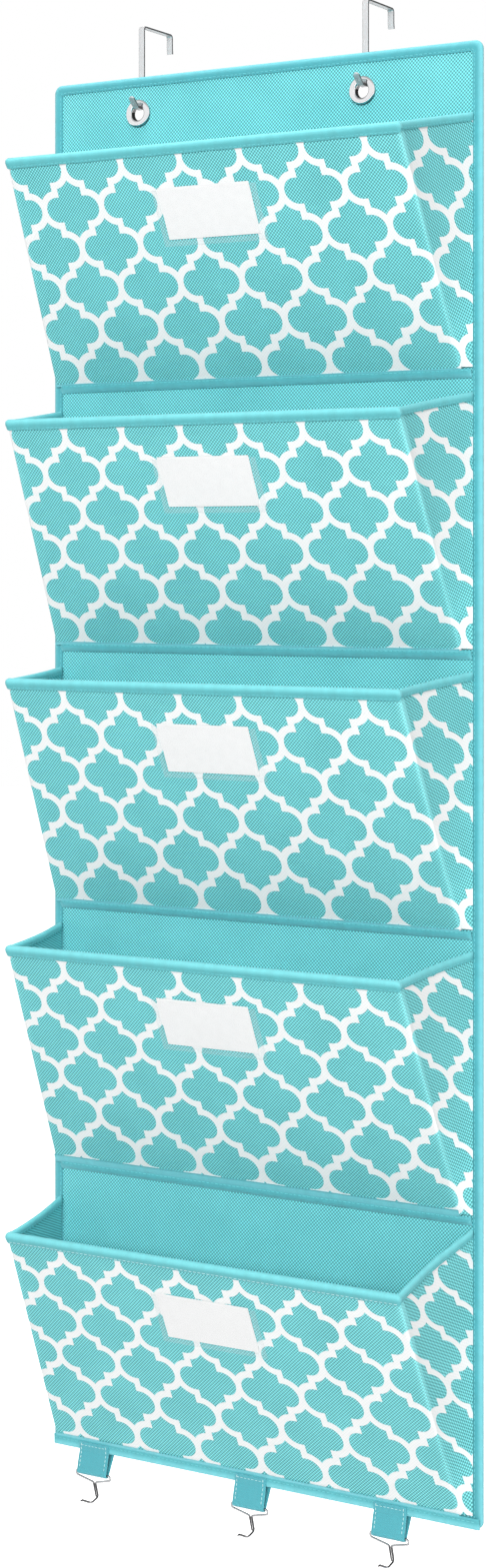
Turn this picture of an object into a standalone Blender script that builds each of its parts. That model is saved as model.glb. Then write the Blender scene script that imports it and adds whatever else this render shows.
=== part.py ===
"""Over-the-door file organizer: a cloth panel with five wedge pockets, hung by two strip hooks.

Metres, +Z up, the front faces -Y. The origin lies on the door's top edge, in the door's front
face, above the middle of the panel. Side views are given as (out, height), where out is the
distance from the door's front face towards the viewer, and a point of the model is (x, -out,
height).
"""

import math

import bmesh
import bpy
from mathutils import Matrix, Vector

# Gap between pieces that touch
CLEAR = 0.0003

# Back panel and its edge binding
PANEL_WIDTH = 0.340
PANEL_HEIGHT = 0.980
PANEL_THICKNESS = 0.0016
PANEL_TOP_DROP = 0.037
TOP_CORNER_RADIUS = 0.005
BOTTOM_CORNER_RADIUS = 0.004
BINDING_WIDTH = 0.0060
BINDING_WINDOW_RADIUS = 0.0015
BINDING_FOLD_RADIUS = 0.0012
TAPE_THICKNESS = 0.0008

# Door hooks
STRIP_WIDTH = 0.0046
STRIP_THICKNESS = 0.0012
DOOR_GAP = 0.036
REAR_LEG_LENGTH = 0.014
REAR_TIP_LENGTH = 0.004
REAR_TIP_FLARE = 0.0005
DOOR_BEND_RADIUS = 0.0022
TIP_BEND_RADIUS = 0.010
SEAT_BEND_RADIUS = 0.0010
TONGUE_BEND_RADIUS = 0.0020
TONGUE_REACH = 0.0060
TONGUE_RISE = 0.0054

# Eyelets and their washers
EYELET_PLACE_SHARES = (-0.291, 0.239)
EYELET_DROP = 0.0247
BORE_RADIUS = 0.0050
BARREL_WALL = 0.0006
FLANGE_WIDTH = 0.0050
DOME_HEIGHT = 0.0018
ROLL_REACH = 0.0014
ROLL_THICKNESS = 0.0007
WASHER_THICKNESS = 0.0007
WASHER_WIDTH = 0.0032

# Pockets, each hinged at its bottom seam
POCKET_COUNT = 5
FIRST_LIP_DROP = 0.051
LAST_SEAM_RISE = 0.0061
POCKET_DEPTH = 0.079
POCKET_HEIGHT_SHARES = (0.895, 0.904, 0.907, 0.928, 1.002)
LIP_DROP_SHARES = (0.070, 0.057, 0.034, 0.042, 0.126)
FRONT_TOP_INSET = 0.018
FRONT_BOTTOM_INSET = 0.009
FRONT_TOP_SHIFT_SHARE = -0.012
FRONT_BOTTOM_SHIFT_SHARE = -0.0175
PRINT_THICKNESS = 0.0006
BOARD_THICKNESS = 0.0010
LINING_THICKNESS = 0.0005
PLY_MARGIN = 0.0050
PLY_FOOT = 0.0040
LIP_HEIGHT = 0.0070
LIP_WALL = 0.0009
LIP_ROUND = 0.0018
HEM_HEIGHT = 0.0045
HEM_ROUND = 0.0008

# Side gussets
GUSSET_THICKNESS = 0.0008
GUSSET_FOOT = 0.0015
GUSSET_BOW = 0.0025
GUSSET_TAPE_THICKNESS = 0.0032
GUSSET_TAPE_ROUND = 0.0011

# Label sleeves and cards
LABEL_SHIFT_SHARE = -0.015
CARD_WIDTH = 0.072
CARD_HEIGHT = 0.037
CARD_THICKNESS = 0.0004
CARD_BELOW_LIP = 0.029
SLEEVE_MARGIN = 0.0050
SLEEVE_FILM = 0.0004
SLEEVE_TOP_GAP = 0.0015
SLEEVE_CORNER_RADIUS = 0.0015

# Webbing loops and the wire hooks in them
STRAP_PLACE_SHARES = (-0.394, -0.0125, 0.307)
STRAP_WIDTH = 0.025
STRAP_THICKNESS = 0.0012
STRAP_OVERLAP = 0.0050
STRAP_REACH = 0.0175
STRAP_LEAN = 0.0060
WIRE_RADIUS = 0.0007
BOW_SIDE_GAP = 0.0012
BOW_SIDE_DROP = 0.0038
BOW_DROP = 0.0076
BOW_CORNER_RADIUS = 0.0015
STEM_LENGTH = 0.012
CROOK_RUN = 0.0086
CROOK_LOW = 0.0007
CROOK_REACH = 0.0180
CROOK_RISE = 0.0092
CROOK_TIP_REACH = 0.0022
CROOK_TIP_RISE = 0.0009
CROOK_INNER_RADIUS = 0.0020
CROOK_OUTER_RADIUS = 0.0070
CROOK_TIP_RADIUS = 0.0014

# Fineness
CORNER_STEPS = 5
STRAP_FOLD_STEPS = 10
EDGE_STEPS = 4
TONGUE_END_STEPS = 4
TURN_STEPS = 32
DOME_STEPS = 7
STRIP_BEND_STEP_DEG = 18
WIRE_BEND_STEP_DEG = 24
GUSSET_RISES = 6
GUSSET_REACHES = 5
CUT_OVERRUN = 0.010

# Colours
PANEL_AQUA = (0.141, 0.585, 0.620, 1.0)
PRINT_AQUA = (0.150, 0.600, 0.620, 1.0)
TAPE_AQUA = (0.150, 0.610, 0.660, 1.0)
WEBBING_AQUA = (0.130, 0.560, 0.640, 1.0)
LINING_AQUA = (0.125, 0.530, 0.570, 1.0)
BOARD_GREY = (0.520, 0.500, 0.450, 1.0)
CARD_WHITE = (0.900, 0.900, 0.900, 1.0)
FILM_CLEAR = (0.880, 0.900, 0.900, 0.35)
NICKEL = (0.700, 0.700, 0.710, 1.0)
CHROME = (0.800, 0.800, 0.810, 1.0)

# Distances out from the door's face, from the door forwards
ROLL_REAR_OUT = STRIP_THICKNESS + CLEAR
ROLL_FRONT_OUT = ROLL_REAR_OUT + ROLL_THICKNESS
WASHER_REAR_OUT = ROLL_FRONT_OUT + CLEAR
WASHER_FRONT_OUT = WASHER_REAR_OUT + WASHER_THICKNESS
PANEL_REAR_OUT = WASHER_FRONT_OUT + CLEAR
PANEL_FRONT_OUT = PANEL_REAR_OUT + PANEL_THICKNESS
PANEL_MIDDLE_OUT = PANEL_REAR_OUT + PANEL_THICKNESS / 2
FLANGE_REAR_OUT = PANEL_FRONT_OUT + CLEAR
DOME_FRONT_OUT = FLANGE_REAR_OUT + DOME_HEIGHT
BINDING_REAR_OUT = PANEL_REAR_OUT - CLEAR - TAPE_THICKNESS
BINDING_FRONT_OUT = PANEL_FRONT_OUT + CLEAR + TAPE_THICKNESS

# Distances from the middle of the print's thickness, outwards positive
PRINT_FACE = PRINT_THICKNESS / 2
BOARD_FACE = -PRINT_FACE - CLEAR
LINING_FACE = BOARD_FACE - BOARD_THICKNESS - CLEAR
STACK_REAR = LINING_FACE - LINING_THICKNESS
LIP_FRONT = PRINT_FACE + CLEAR + LIP_WALL
LIP_REAR = STACK_REAR - CLEAR - LIP_WALL
LIP_CAP = CLEAR + LIP_WALL
GUSSET_FACE = -PRINT_FACE - CLEAR - GUSSET_THICKNESS / 2

# The hinge line of a front lies in the middle of the print, clear of the panel when it closes
HINGE_OUT = PANEL_FRONT_OUT + CLEAR - STACK_REAR
HEM_FRONT_OUT = HINGE_OUT + PRINT_FACE + CLEAR
FRONT_REACH = POCKET_DEPTH - HINGE_OUT + PANEL_FRONT_OUT

# Heights and places across
PANEL_TOP = -PANEL_TOP_DROP
PANEL_BOTTOM = PANEL_TOP - PANEL_HEIGHT
BINDING_BOTTOM = PANEL_BOTTOM - CLEAR - TAPE_THICKNESS
POCKETS_HEIGHT = PANEL_HEIGHT - FIRST_LIP_DROP - LAST_SEAM_RISE
POCKET_PITCH = POCKETS_HEIGHT / (POCKET_COUNT - 1 + POCKET_HEIGHT_SHARES[-1])
BINDING_INNER_X = PANEL_WIDTH / 2 - BINDING_WIDTH
EYELET_HEIGHT = PANEL_TOP - EYELET_DROP
EYELET_XS = [share * PANEL_WIDTH for share in EYELET_PLACE_SHARES]
STRAP_XS = [share * PANEL_WIDTH for share in STRAP_PLACE_SHARES]
GUSSET_BACK_X = BINDING_INNER_X + GUSSET_THICKNESS / 2
GUSSET_BACK_OUT = BINDING_FRONT_OUT + CLEAR + GUSSET_THICKNESS / 2

# Directions of a flat outline's two coordinates and of its thickness
SIDE_VIEW = ((0, -1, 0), (0, 0, 1), (-1, 0, 0))
FRONT_VIEW = ((1, 0, 0), (0, 0, 1), (0, -1, 0))


def clear_scene():
    for obj in list(bpy.data.objects):
        bpy.data.objects.remove(obj, do_unlink=True)


def make_collection(name, hidden=False):
    collection = bpy.data.collections.new(name)
    bpy.context.scene.collection.children.link(collection)
    collection.hide_render = hidden
    return collection


def make_material(name, colour, roughness, metallic=0.0):
    material = bpy.data.materials.new(name)
    material.use_nodes = True
    shader = material.node_tree.nodes["Principled BSDF"]
    shader.inputs["Base Color"].default_value = colour
    shader.inputs["Alpha"].default_value = colour[3]
    shader.inputs["Roughness"].default_value = roughness
    shader.inputs["Metallic"].default_value = metallic
    material.diffuse_color = colour
    return material


def make_empty(name, location, tilt):
    """An empty whose X axis is a hinge's axis, tilted about it."""
    empty = bpy.data.objects.new(name, None)
    PARTS.objects.link(empty)
    empty.location = location
    empty.rotation_euler = (tilt, 0.0, 0.0)
    return empty


def add_part(name, data, material, parent=None):
    obj = bpy.data.objects.new(name, data)
    PARTS.objects.link(obj)
    data.materials.clear()
    data.materials.append(material)
    obj.parent = parent
    return obj


def add_helper(name, mesh, parent=None):
    """A solid that only cuts or joins, and isn't a piece itself."""
    obj = bpy.data.objects.new(name, mesh)
    CUTTERS.objects.link(obj)
    obj.hide_render = True
    obj.display_type = "WIRE"
    obj.parent = parent
    return obj


def add_boolean(obj, helper, operation):
    modifier = obj.modifiers.new(helper.name, "BOOLEAN")
    modifier.operation = operation
    modifier.object = helper
    modifier.solver = "EXACT"


def add_thickness(obj, thickness):
    modifier = obj.modifiers.new("thickness", "SOLIDIFY")
    modifier.thickness = thickness
    modifier.offset = 0.0
    modifier.use_even_offset = True


def add_rounding(obj, radius, segments):
    modifier = obj.modifiers.new("rounding", "BEVEL")
    modifier.width = radius
    modifier.segments = segments
    modifier.limit_method = "ANGLE"
    modifier.angle_limit = math.radians(50)


def shade_round(obj):
    obj.data.shade_smooth()
    obj.data.set_sharp_from_angle(angle=math.radians(35))


def outline_mesh(name, loops, thickness, view):
    """A flat outline with thickness, half on each side of its plane. Loops past the first are
    holes."""
    curve = bpy.data.curves.new(name, "CURVE")
    curve.dimensions = "2D"
    curve.fill_mode = "BOTH"
    curve.extrude = thickness / 2
    for loop in loops:
        spline = curve.splines.new("POLY")
        spline.points.add(len(loop) - 1)
        for point, place in zip(spline.points, loop):
            point.co = (place[0], place[1], 0.0, 1.0)
        spline.use_cyclic_u = True
    holder = bpy.data.objects.new(name, curve)
    bpy.context.scene.collection.objects.link(holder)
    evaluated = holder.evaluated_get(bpy.context.evaluated_depsgraph_get())
    mesh = bpy.data.meshes.new_from_object(evaluated)
    bpy.data.objects.remove(holder, do_unlink=True)
    weld(mesh)
    mesh.transform(Matrix(view).transposed().to_4x4())
    return mesh


def weld(mesh):
    shape = bmesh.new()
    shape.from_mesh(mesh)
    bmesh.ops.remove_doubles(shape, verts=shape.verts, dist=CLEAR / 100)
    bmesh.ops.recalc_face_normals(shape, faces=shape.faces)
    shape.to_mesh(mesh)
    shape.free()


def grid_mesh(name, rows):
    """An open surface through rows of points, all rows alike in number."""
    count = len(rows[0])
    faces = []
    for row in range(len(rows) - 1):
        for column in range(count - 1):
            first = row * count + column
            faces.append((first, first + 1, first + count + 1, first + count))
    mesh = bpy.data.meshes.new(name)
    mesh.from_pydata([point for row in rows for point in row], [], faces)
    return mesh


def turned_mesh(name, profile):
    """A closed profile of (radius, out) points, for a Screw about the local Z axis."""
    edges = [(index, (index + 1) % len(profile)) for index in range(len(profile))]
    mesh = bpy.data.meshes.new(name)
    mesh.from_pydata([(radius, 0.0, out) for radius, out in profile], edges, [])
    return mesh


def add_turned(name, profile, material, x, height):
    """A ring turned about an axis that runs out from the door."""
    obj = add_part(name, turned_mesh(name, profile), material)
    screw = obj.modifiers.new("turn", "SCREW")
    screw.steps = TURN_STEPS
    screw.render_steps = TURN_STEPS
    screw.use_merge_vertices = True
    screw.merge_threshold = CLEAR / 10
    screw.use_smooth_shade = True
    obj.rotation_euler = (math.pi / 2, 0.0, 0.0)
    obj.location = (x, 0.0, height)
    return obj


def arc(centre, radius, start_deg, end_deg, steps):
    points = []
    for step in range(steps + 1):
        angle = math.radians(start_deg + (end_deg - start_deg) * step / steps)
        points.append((centre[0] + radius * math.cos(angle), centre[1] + radius * math.sin(angle)))
    return points


def circle(centre, radius):
    return arc(centre, radius, 0, 360, TURN_STEPS)[:-1]


def rounded_box(left, right, low, high, low_radius, high_radius):
    """A rectangle with rounded corners, counterclockwise from its lower right one."""
    corners = (
        (right - low_radius, low + low_radius, -90, low_radius),
        (right - high_radius, high - high_radius, 0, high_radius),
        (left + high_radius, high - high_radius, 90, high_radius),
        (left + low_radius, low + low_radius, 180, low_radius),
    )
    points = []
    for x, y, start, radius in corners:
        points += arc((x, y), radius, start, start + 90, CORNER_STEPS)
    return points


def rounded_route(corners, radii, step_deg):
    """Points along straight runs, where each inner corner is rounded by its own radius."""
    route = [Vector(corners[0])]
    for before, corner, after, radius in zip(corners, corners[1:], corners[2:], radii):
        into = (Vector(corner) - Vector(before)).normalized()
        away = (Vector(after) - Vector(corner)).normalized()
        turn = into.angle(away)
        side = (away - into * into.dot(away)).normalized()
        centre = Vector(corner) - into * radius * math.tan(turn / 2) + side * radius
        steps = max(2, math.ceil(math.degrees(turn) / step_deg))
        for step in range(steps + 1):
            angle = turn * step / steps
            route.append(centre + (into * math.sin(angle) - side * math.cos(angle)) * radius)
    route.append(Vector(corners[-1]))
    return route


def back_lip(index):
    """Height at which a pocket's side edges meet the panel."""
    return PANEL_TOP - FIRST_LIP_DROP - index * POCKET_PITCH


def seam(index):
    """Height of the hinge line of a pocket's front."""
    return back_lip(index) - POCKET_HEIGHT_SHARES[index] * POCKET_PITCH


def front_rise(index):
    return back_lip(index) - LIP_DROP_SHARES[index] * POCKET_PITCH - seam(index)


def front_length(index):
    return math.hypot(FRONT_REACH, front_rise(index))


def front_lean(index):
    """Angle of a front from upright."""
    return math.atan2(FRONT_REACH, front_rise(index))


def front_half_width(share):
    """Half the width of the print at a share of its length, from the seam up."""
    inset = FRONT_BOTTOM_INSET + (FRONT_TOP_INSET - FRONT_BOTTOM_INSET) * share
    return PANEL_WIDTH / 2 - inset


def front_middle(share):
    shift = FRONT_BOTTOM_SHIFT_SHARE + (FRONT_TOP_SHIFT_SHARE - FRONT_BOTTOM_SHIFT_SHARE) * share
    return shift * PANEL_WIDTH


def front_point(index, x, face, slope):
    """A point of the model from its place on a front: across, outwards and up the slope."""
    lean = front_lean(index)
    out = HINGE_OUT + slope * math.sin(lean) + face * math.cos(lean)
    height = seam(index) + slope * math.cos(lean) - face * math.sin(lean)
    return Vector((x, -out, height))


def front_outline(index, foot, margin):
    """A ply of the front, drawn in from the print's sides by a margin."""
    length = front_length(index)
    points = []
    for side, slope in ((1, foot), (1, length), (-1, length), (-1, foot)):
        share = slope / length
        points.append((front_middle(share) + side * (front_half_width(share) - margin), slope))
    return points


def build_back_panel(material):
    sheet = rounded_box(
        -PANEL_WIDTH / 2, PANEL_WIDTH / 2, PANEL_BOTTOM, PANEL_TOP,
        BOTTOM_CORNER_RADIUS, TOP_CORNER_RADIUS,
    )
    hole_radius = BORE_RADIUS + BARREL_WALL + CLEAR
    holes = [circle((x, EYELET_HEIGHT), hole_radius) for x in EYELET_XS]
    mesh = outline_mesh("back_panel", [sheet] + holes, PANEL_THICKNESS, FRONT_VIEW)
    panel = add_part("back_panel", mesh, material)
    panel.location = (0.0, -PANEL_MIDDLE_OUT, 0.0)


def binding_outline(grow):
    """The panel's outline, grown all round."""
    return rounded_box(
        -PANEL_WIDTH / 2 - grow, PANEL_WIDTH / 2 + grow, PANEL_BOTTOM - grow, PANEL_TOP + grow,
        BOTTOM_CORNER_RADIUS + grow, TOP_CORNER_RADIUS + grow,
    )


def build_panel_binding(material):
    """Tape folded over the panel's edge: a full plate, less the panel's slot and a window."""
    grow = CLEAR + TAPE_THICKNESS
    plate = outline_mesh(
        "panel_binding", [binding_outline(grow)], PANEL_THICKNESS + 2 * grow, FRONT_VIEW
    )
    binding = add_part("panel_binding", plate, material)
    add_rounding(binding, BINDING_FOLD_RADIUS, 2)
    slot = outline_mesh("slot", [binding_outline(CLEAR)], PANEL_THICKNESS + 2 * CLEAR, FRONT_VIEW)
    window = outline_mesh(
        "window",
        [rounded_box(
            -BINDING_INNER_X, BINDING_INNER_X,
            PANEL_BOTTOM + BINDING_WIDTH, PANEL_TOP - BINDING_WIDTH,
            BINDING_WINDOW_RADIUS, BINDING_WINDOW_RADIUS,
        )],
        CUT_OVERRUN, FRONT_VIEW,
    )
    for mesh in (slot, window):
        cutter = add_helper("binding_" + mesh.name, mesh)
        cutter.location = (0.0, -PANEL_MIDDLE_OUT, 0.0)
        add_boolean(binding, cutter, "DIFFERENCE")
    binding.location = (0.0, -PANEL_MIDDLE_OUT, 0.0)
    shade_round(binding)


def build_eyelet(name, x, material):
    """Barrel with a domed flange in front, its rear end rolled over the washer."""
    barrel = BORE_RADIUS + BARREL_WALL
    roll_radius = ROLL_THICKNESS / 2
    profile = []
    for step in range(DOME_STEPS + 1):
        angle = math.pi * (1 - step / DOME_STEPS)
        radius = BORE_RADIUS + FLANGE_WIDTH / 2 * (1 + math.cos(angle))
        profile.append((radius, FLANGE_REAR_OUT + DOME_HEIGHT * math.sin(angle)))
    profile.append((barrel, FLANGE_REAR_OUT))
    profile.append((barrel, ROLL_FRONT_OUT))
    roll_centre = (barrel + ROLL_REACH - roll_radius, ROLL_REAR_OUT + roll_radius)
    profile += arc(roll_centre, roll_radius, 90, -90, EDGE_STEPS)
    profile += arc((barrel, ROLL_REAR_OUT + BARREL_WALL), BARREL_WALL, 270, 180, EDGE_STEPS)
    add_turned(name, profile, material, x, EYELET_HEIGHT)


def build_washer(name, x, material):
    """Flat ring with a rounded outer edge, between the panel and the rolled barrel."""
    inner = BORE_RADIUS + BARREL_WALL + CLEAR
    outer = inner + WASHER_WIDTH
    edge = WASHER_THICKNESS / 2
    profile = [(inner, WASHER_REAR_OUT), (inner, WASHER_FRONT_OUT)]
    profile += arc((outer - edge, WASHER_REAR_OUT + edge), edge, 90, -90, EDGE_STEPS)
    add_turned(name, profile, material, x, EYELET_HEIGHT)


def door_hook_route():
    """Middle line of the strip, from its rear tip over the door and out through the eyelet."""
    rear = -DOOR_GAP - STRIP_THICKNESS / 2
    front = STRIP_THICKNESS / 2
    tip = STRIP_THICKNESS - REAR_LEG_LENGTH
    half_chord = math.sqrt(BORE_RADIUS ** 2 - (STRIP_WIDTH / 2) ** 2)
    seat = EYELET_HEIGHT + half_chord - CLEAR - STRIP_THICKNESS / 2
    seat_end = DOME_FRONT_OUT + CLEAR
    corners = (
        (rear - REAR_TIP_FLARE, tip),
        (rear, tip + REAR_TIP_LENGTH),
        (rear, STRIP_THICKNESS / 2),
        (front, STRIP_THICKNESS / 2),
        (front, seat),
        (seat_end, seat),
        (seat_end + TONGUE_REACH, seat + TONGUE_RISE),
    )
    radii = (
        TIP_BEND_RADIUS, DOOR_BEND_RADIUS, DOOR_BEND_RADIUS, SEAT_BEND_RADIUS, TONGUE_BEND_RADIUS
    )
    return rounded_route(corners, radii, STRIP_BEND_STEP_DEG)


def build_door_hook(name, x, material):
    """A flat strip whose front tongue ends in a half round."""
    route = door_hook_route()
    rows = [[(-STRIP_WIDTH / 2, -out, height), (STRIP_WIDTH / 2, -out, height)]
            for out, height in route]
    along = (route[-1] - route[-2]).normalized()
    for step in range(1, TONGUE_END_STEPS):
        angle = math.pi / 2 * step / TONGUE_END_STEPS
        out, height = route[-1] + along * math.sin(angle) * STRIP_WIDTH / 2
        half = math.cos(angle) * STRIP_WIDTH / 2
        rows.append([(-half, -out, height), (half, -out, height)])
    hook = add_part(name, grid_mesh(name, rows), material)
    hook.location = (x, 0.0, 0.0)
    add_thickness(hook, STRIP_THICKNESS)
    shade_round(hook)


def build_front_plies(index, hinge, materials):
    """Print, stiffening board and lining of a pocket's front, one behind the other."""
    plies = (
        ("pocket_front", PRINT_FACE, PRINT_THICKNESS, 0.0, 0.0, materials["print"]),
        ("pocket_board", BOARD_FACE, BOARD_THICKNESS, PLY_FOOT, PLY_MARGIN, materials["board"]),
        ("pocket_lining", LINING_FACE, LINING_THICKNESS, PLY_FOOT, PLY_MARGIN,
         materials["lining"]),
    )
    for stem, face, thickness, foot, margin, material in plies:
        name = f"{stem}_{index + 1}"
        outline = front_outline(index, foot, margin)
        ply = add_part(name, outline_mesh(name, [outline], thickness, FRONT_VIEW), material, hinge)
        ply.location = (0.0, thickness / 2 - face, 0.0)


def build_lip_binding(index, hinge, material):
    """Tape folded over the top edges of the three plies."""
    name = f"lip_binding_{index + 1}"
    top = front_length(index) + LIP_CAP
    low = top - LIP_HEIGHT
    slot = top - LIP_WALL
    outline = [(LIP_FRONT, low)]
    outline += arc((LIP_FRONT - LIP_ROUND, top - LIP_ROUND), LIP_ROUND, 0, 90, CORNER_STEPS)
    outline += arc((LIP_REAR + LIP_ROUND, top - LIP_ROUND), LIP_ROUND, 90, 180, CORNER_STEPS)
    outline += [(LIP_REAR, low), (LIP_REAR + LIP_WALL, low), (LIP_REAR + LIP_WALL, slot)]
    outline += [(LIP_FRONT - LIP_WALL, slot), (LIP_FRONT - LIP_WALL, low)]
    lip = add_part(
        name, outline_mesh(name, [outline], 2 * front_half_width(1), SIDE_VIEW), material, hinge
    )
    lip.location = (front_middle(1), 0.0, 0.0)
    shade_round(lip)


def build_hem(index, material):
    """The roll below a seam. The lowest one lies over the panel's binding."""
    name = f"seam_hem_{index + 1}"
    high = seam(index) - PRINT_FACE - CLEAR
    low = high - HEM_HEIGHT
    rear = PANEL_FRONT_OUT + CLEAR
    half_width = BINDING_INNER_X - CLEAR
    if low < PANEL_BOTTOM + BINDING_WIDTH:
        low = BINDING_BOTTOM
        rear = BINDING_FRONT_OUT + CLEAR
        half_width = PANEL_WIDTH / 2
    outline = rounded_box(rear, HEM_FRONT_OUT, low, high, HEM_ROUND, HEM_ROUND)
    hem = add_part(name, outline_mesh(name, [outline], 2 * half_width, SIDE_VIEW), material)
    shade_round(hem)


def gusset_rows(index, side, rises, reaches):
    """Points from the front's side edge back to the panel, over shares of height and reach."""
    rows = []
    for rise in rises:
        edge = front_half_width(rise) + CLEAR + GUSSET_THICKNESS / 2
        x = front_middle(rise) + side * edge
        front = front_point(index, x, GUSSET_FACE, rise * front_length(index))
        height = seam(index) + rise * (back_lip(index) - seam(index))
        back = Vector((side * GUSSET_BACK_X, -GUSSET_BACK_OUT, height))
        row = []
        for reach in reaches:
            point = front.lerp(back, reach)
            point.x -= side * GUSSET_BOW * rise * 4 * reach * (1 - reach)
            row.append(point)
        rows.append(row)
    return rows


def spread(start, end, count):
    """Evenly spaced values from start to end, both included."""
    return [start + (end - start) * step / (count - 1) for step in range(count)]


def build_gusset(index, side, material):
    """The folded-in cloth side of a pocket, with tape bound over its top edge."""
    name = f"gusset_{'left' if side < 0 else 'right'}_{index + 1}"
    height = back_lip(index) - seam(index)
    sheet_rises = spread(GUSSET_FOOT / height, 1, GUSSET_RISES)
    sheet = gusset_rows(index, side, sheet_rises, spread(0, 1, GUSSET_REACHES))
    gusset = add_part(name, grid_mesh(name, sheet), material)
    add_thickness(gusset, GUSSET_THICKNESS)
    tape_start = (LIP_FRONT - LIP_REAR + GUSSET_TAPE_THICKNESS / 2) / POCKET_DEPTH
    tape_end = 1 - GUSSET_THICKNESS / POCKET_DEPTH
    tape_rises = (1 + (LIP_CAP - LIP_HEIGHT) / height, 1 + LIP_CAP / height)
    tape_rows = gusset_rows(index, side, tape_rises, spread(tape_start, tape_end, GUSSET_REACHES))
    tape = add_helper(name + "_tape", grid_mesh(name + "_tape", tape_rows))
    add_thickness(tape, GUSSET_TAPE_THICKNESS)
    add_rounding(tape, GUSSET_TAPE_ROUND, 2)
    add_boolean(gusset, tape, "UNION")
    shade_round(gusset)


def build_label(index, hinge, materials):
    """A blank card in a clear sleeve that is open at the top."""
    middle = LABEL_SHIFT_SHARE * PANEL_WIDTH
    card_top = front_length(index) - CARD_BELOW_LIP
    card_low = card_top - CARD_HEIGHT
    card_rear = PRINT_FACE + CLEAR
    card_front = card_rear + CARD_THICKNESS
    sleeve_thickness = CARD_THICKNESS + CLEAR + SLEEVE_FILM
    card_outline = [
        (-CARD_WIDTH / 2, card_low), (CARD_WIDTH / 2, card_low),
        (CARD_WIDTH / 2, card_top), (-CARD_WIDTH / 2, card_top),
    ]
    card_name = f"label_card_{index + 1}"
    card_mesh = outline_mesh(card_name, [card_outline], CARD_THICKNESS, FRONT_VIEW)
    card = add_part(card_name, card_mesh, materials["card"], hinge)
    card.location = (middle, -card_rear - CARD_THICKNESS / 2, 0.0)

    half_width = CARD_WIDTH / 2 + SLEEVE_MARGIN
    sleeve_outline = rounded_box(
        -half_width, half_width, card_low - SLEEVE_MARGIN, card_top - SLEEVE_TOP_GAP,
        SLEEVE_CORNER_RADIUS, SLEEVE_CORNER_RADIUS,
    )
    sleeve_name = f"label_sleeve_{index + 1}"
    sleeve_mesh = outline_mesh(sleeve_name, [sleeve_outline], sleeve_thickness, FRONT_VIEW)
    sleeve = add_part(sleeve_name, sleeve_mesh, materials["film"], hinge)
    sleeve.location = (middle, -card_rear - sleeve_thickness / 2, 0.0)

    slot_half_width = CARD_WIDTH / 2 + CLEAR
    slot_outline = [
        (-slot_half_width, card_low - CLEAR), (slot_half_width, card_low - CLEAR),
        (slot_half_width, card_top + CUT_OVERRUN), (-slot_half_width, card_top + CUT_OVERRUN),
    ]
    slot_mesh = outline_mesh(f"sleeve_slot_{index + 1}", [slot_outline], CUT_OVERRUN, FRONT_VIEW)
    slot = add_helper(slot_mesh.name, slot_mesh, hinge)
    slot.location = (middle, CUT_OVERRUN / 2 - card_front - CLEAR, 0.0)
    add_boolean(sleeve, slot, "DIFFERENCE")


def build_pocket(index, materials):
    lean = front_lean(index)
    hinge = make_empty(f"pocket_hinge_{index + 1}", (0.0, -HINGE_OUT, seam(index)), lean)
    build_front_plies(index, hinge, materials)
    build_lip_binding(index, hinge, materials["tape"])
    build_label(index, hinge, materials)
    build_hem(index, materials["tape"])
    for side in (-1, 1):
        build_gusset(index, side, materials["print"])


def wire_bar_place():
    """(out, height) of the wire bar that lies in the fold of a webbing loop."""
    return (
        PANEL_FRONT_OUT + STRAP_LEAN,
        PANEL_BOTTOM - STRAP_REACH + STRAP_THICKNESS + CLEAR + WIRE_RADIUS,
    )


def tangent_angle(centre, point, radius, side):
    """Direction in degrees, from a circle's centre, of the touching point of a line to point."""
    gap = Vector(point) - Vector(centre)
    return math.degrees(math.atan2(gap.y, gap.x) + side * math.acos(radius / gap.length))


def strap_route():
    """Middle line of the webbing: down in front, round the wire bar, and up behind the panel."""
    front = HEM_FRONT_OUT + CLEAR + STRAP_THICKNESS / 2
    rear = BINDING_REAR_OUT - CLEAR - STRAP_THICKNESS / 2
    top = PANEL_BOTTOM + STRAP_OVERLAP
    knee = BINDING_BOTTOM - CLEAR
    centre = wire_bar_place()
    radius = WIRE_RADIUS + CLEAR + STRAP_THICKNESS / 2
    start = tangent_angle(centre, (front, knee), radius, -1)
    end = tangent_angle(centre, (rear, knee), radius, 1) - 360
    fold = arc(centre, radius, start, end, STRAP_FOLD_STEPS)
    return [(front, top), (front, knee)] + fold + [(rear, knee), (rear, top)]


def build_strap(name, x, material):
    rows = [[(-STRAP_WIDTH / 2, -out, height), (STRAP_WIDTH / 2, -out, height)]
            for out, height in strap_route()]
    strap = add_part(name, grid_mesh(name, rows), material)
    strap.location = (x, 0.0, 0.0)
    add_thickness(strap, STRAP_THICKNESS)
    shade_round(strap)


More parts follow.
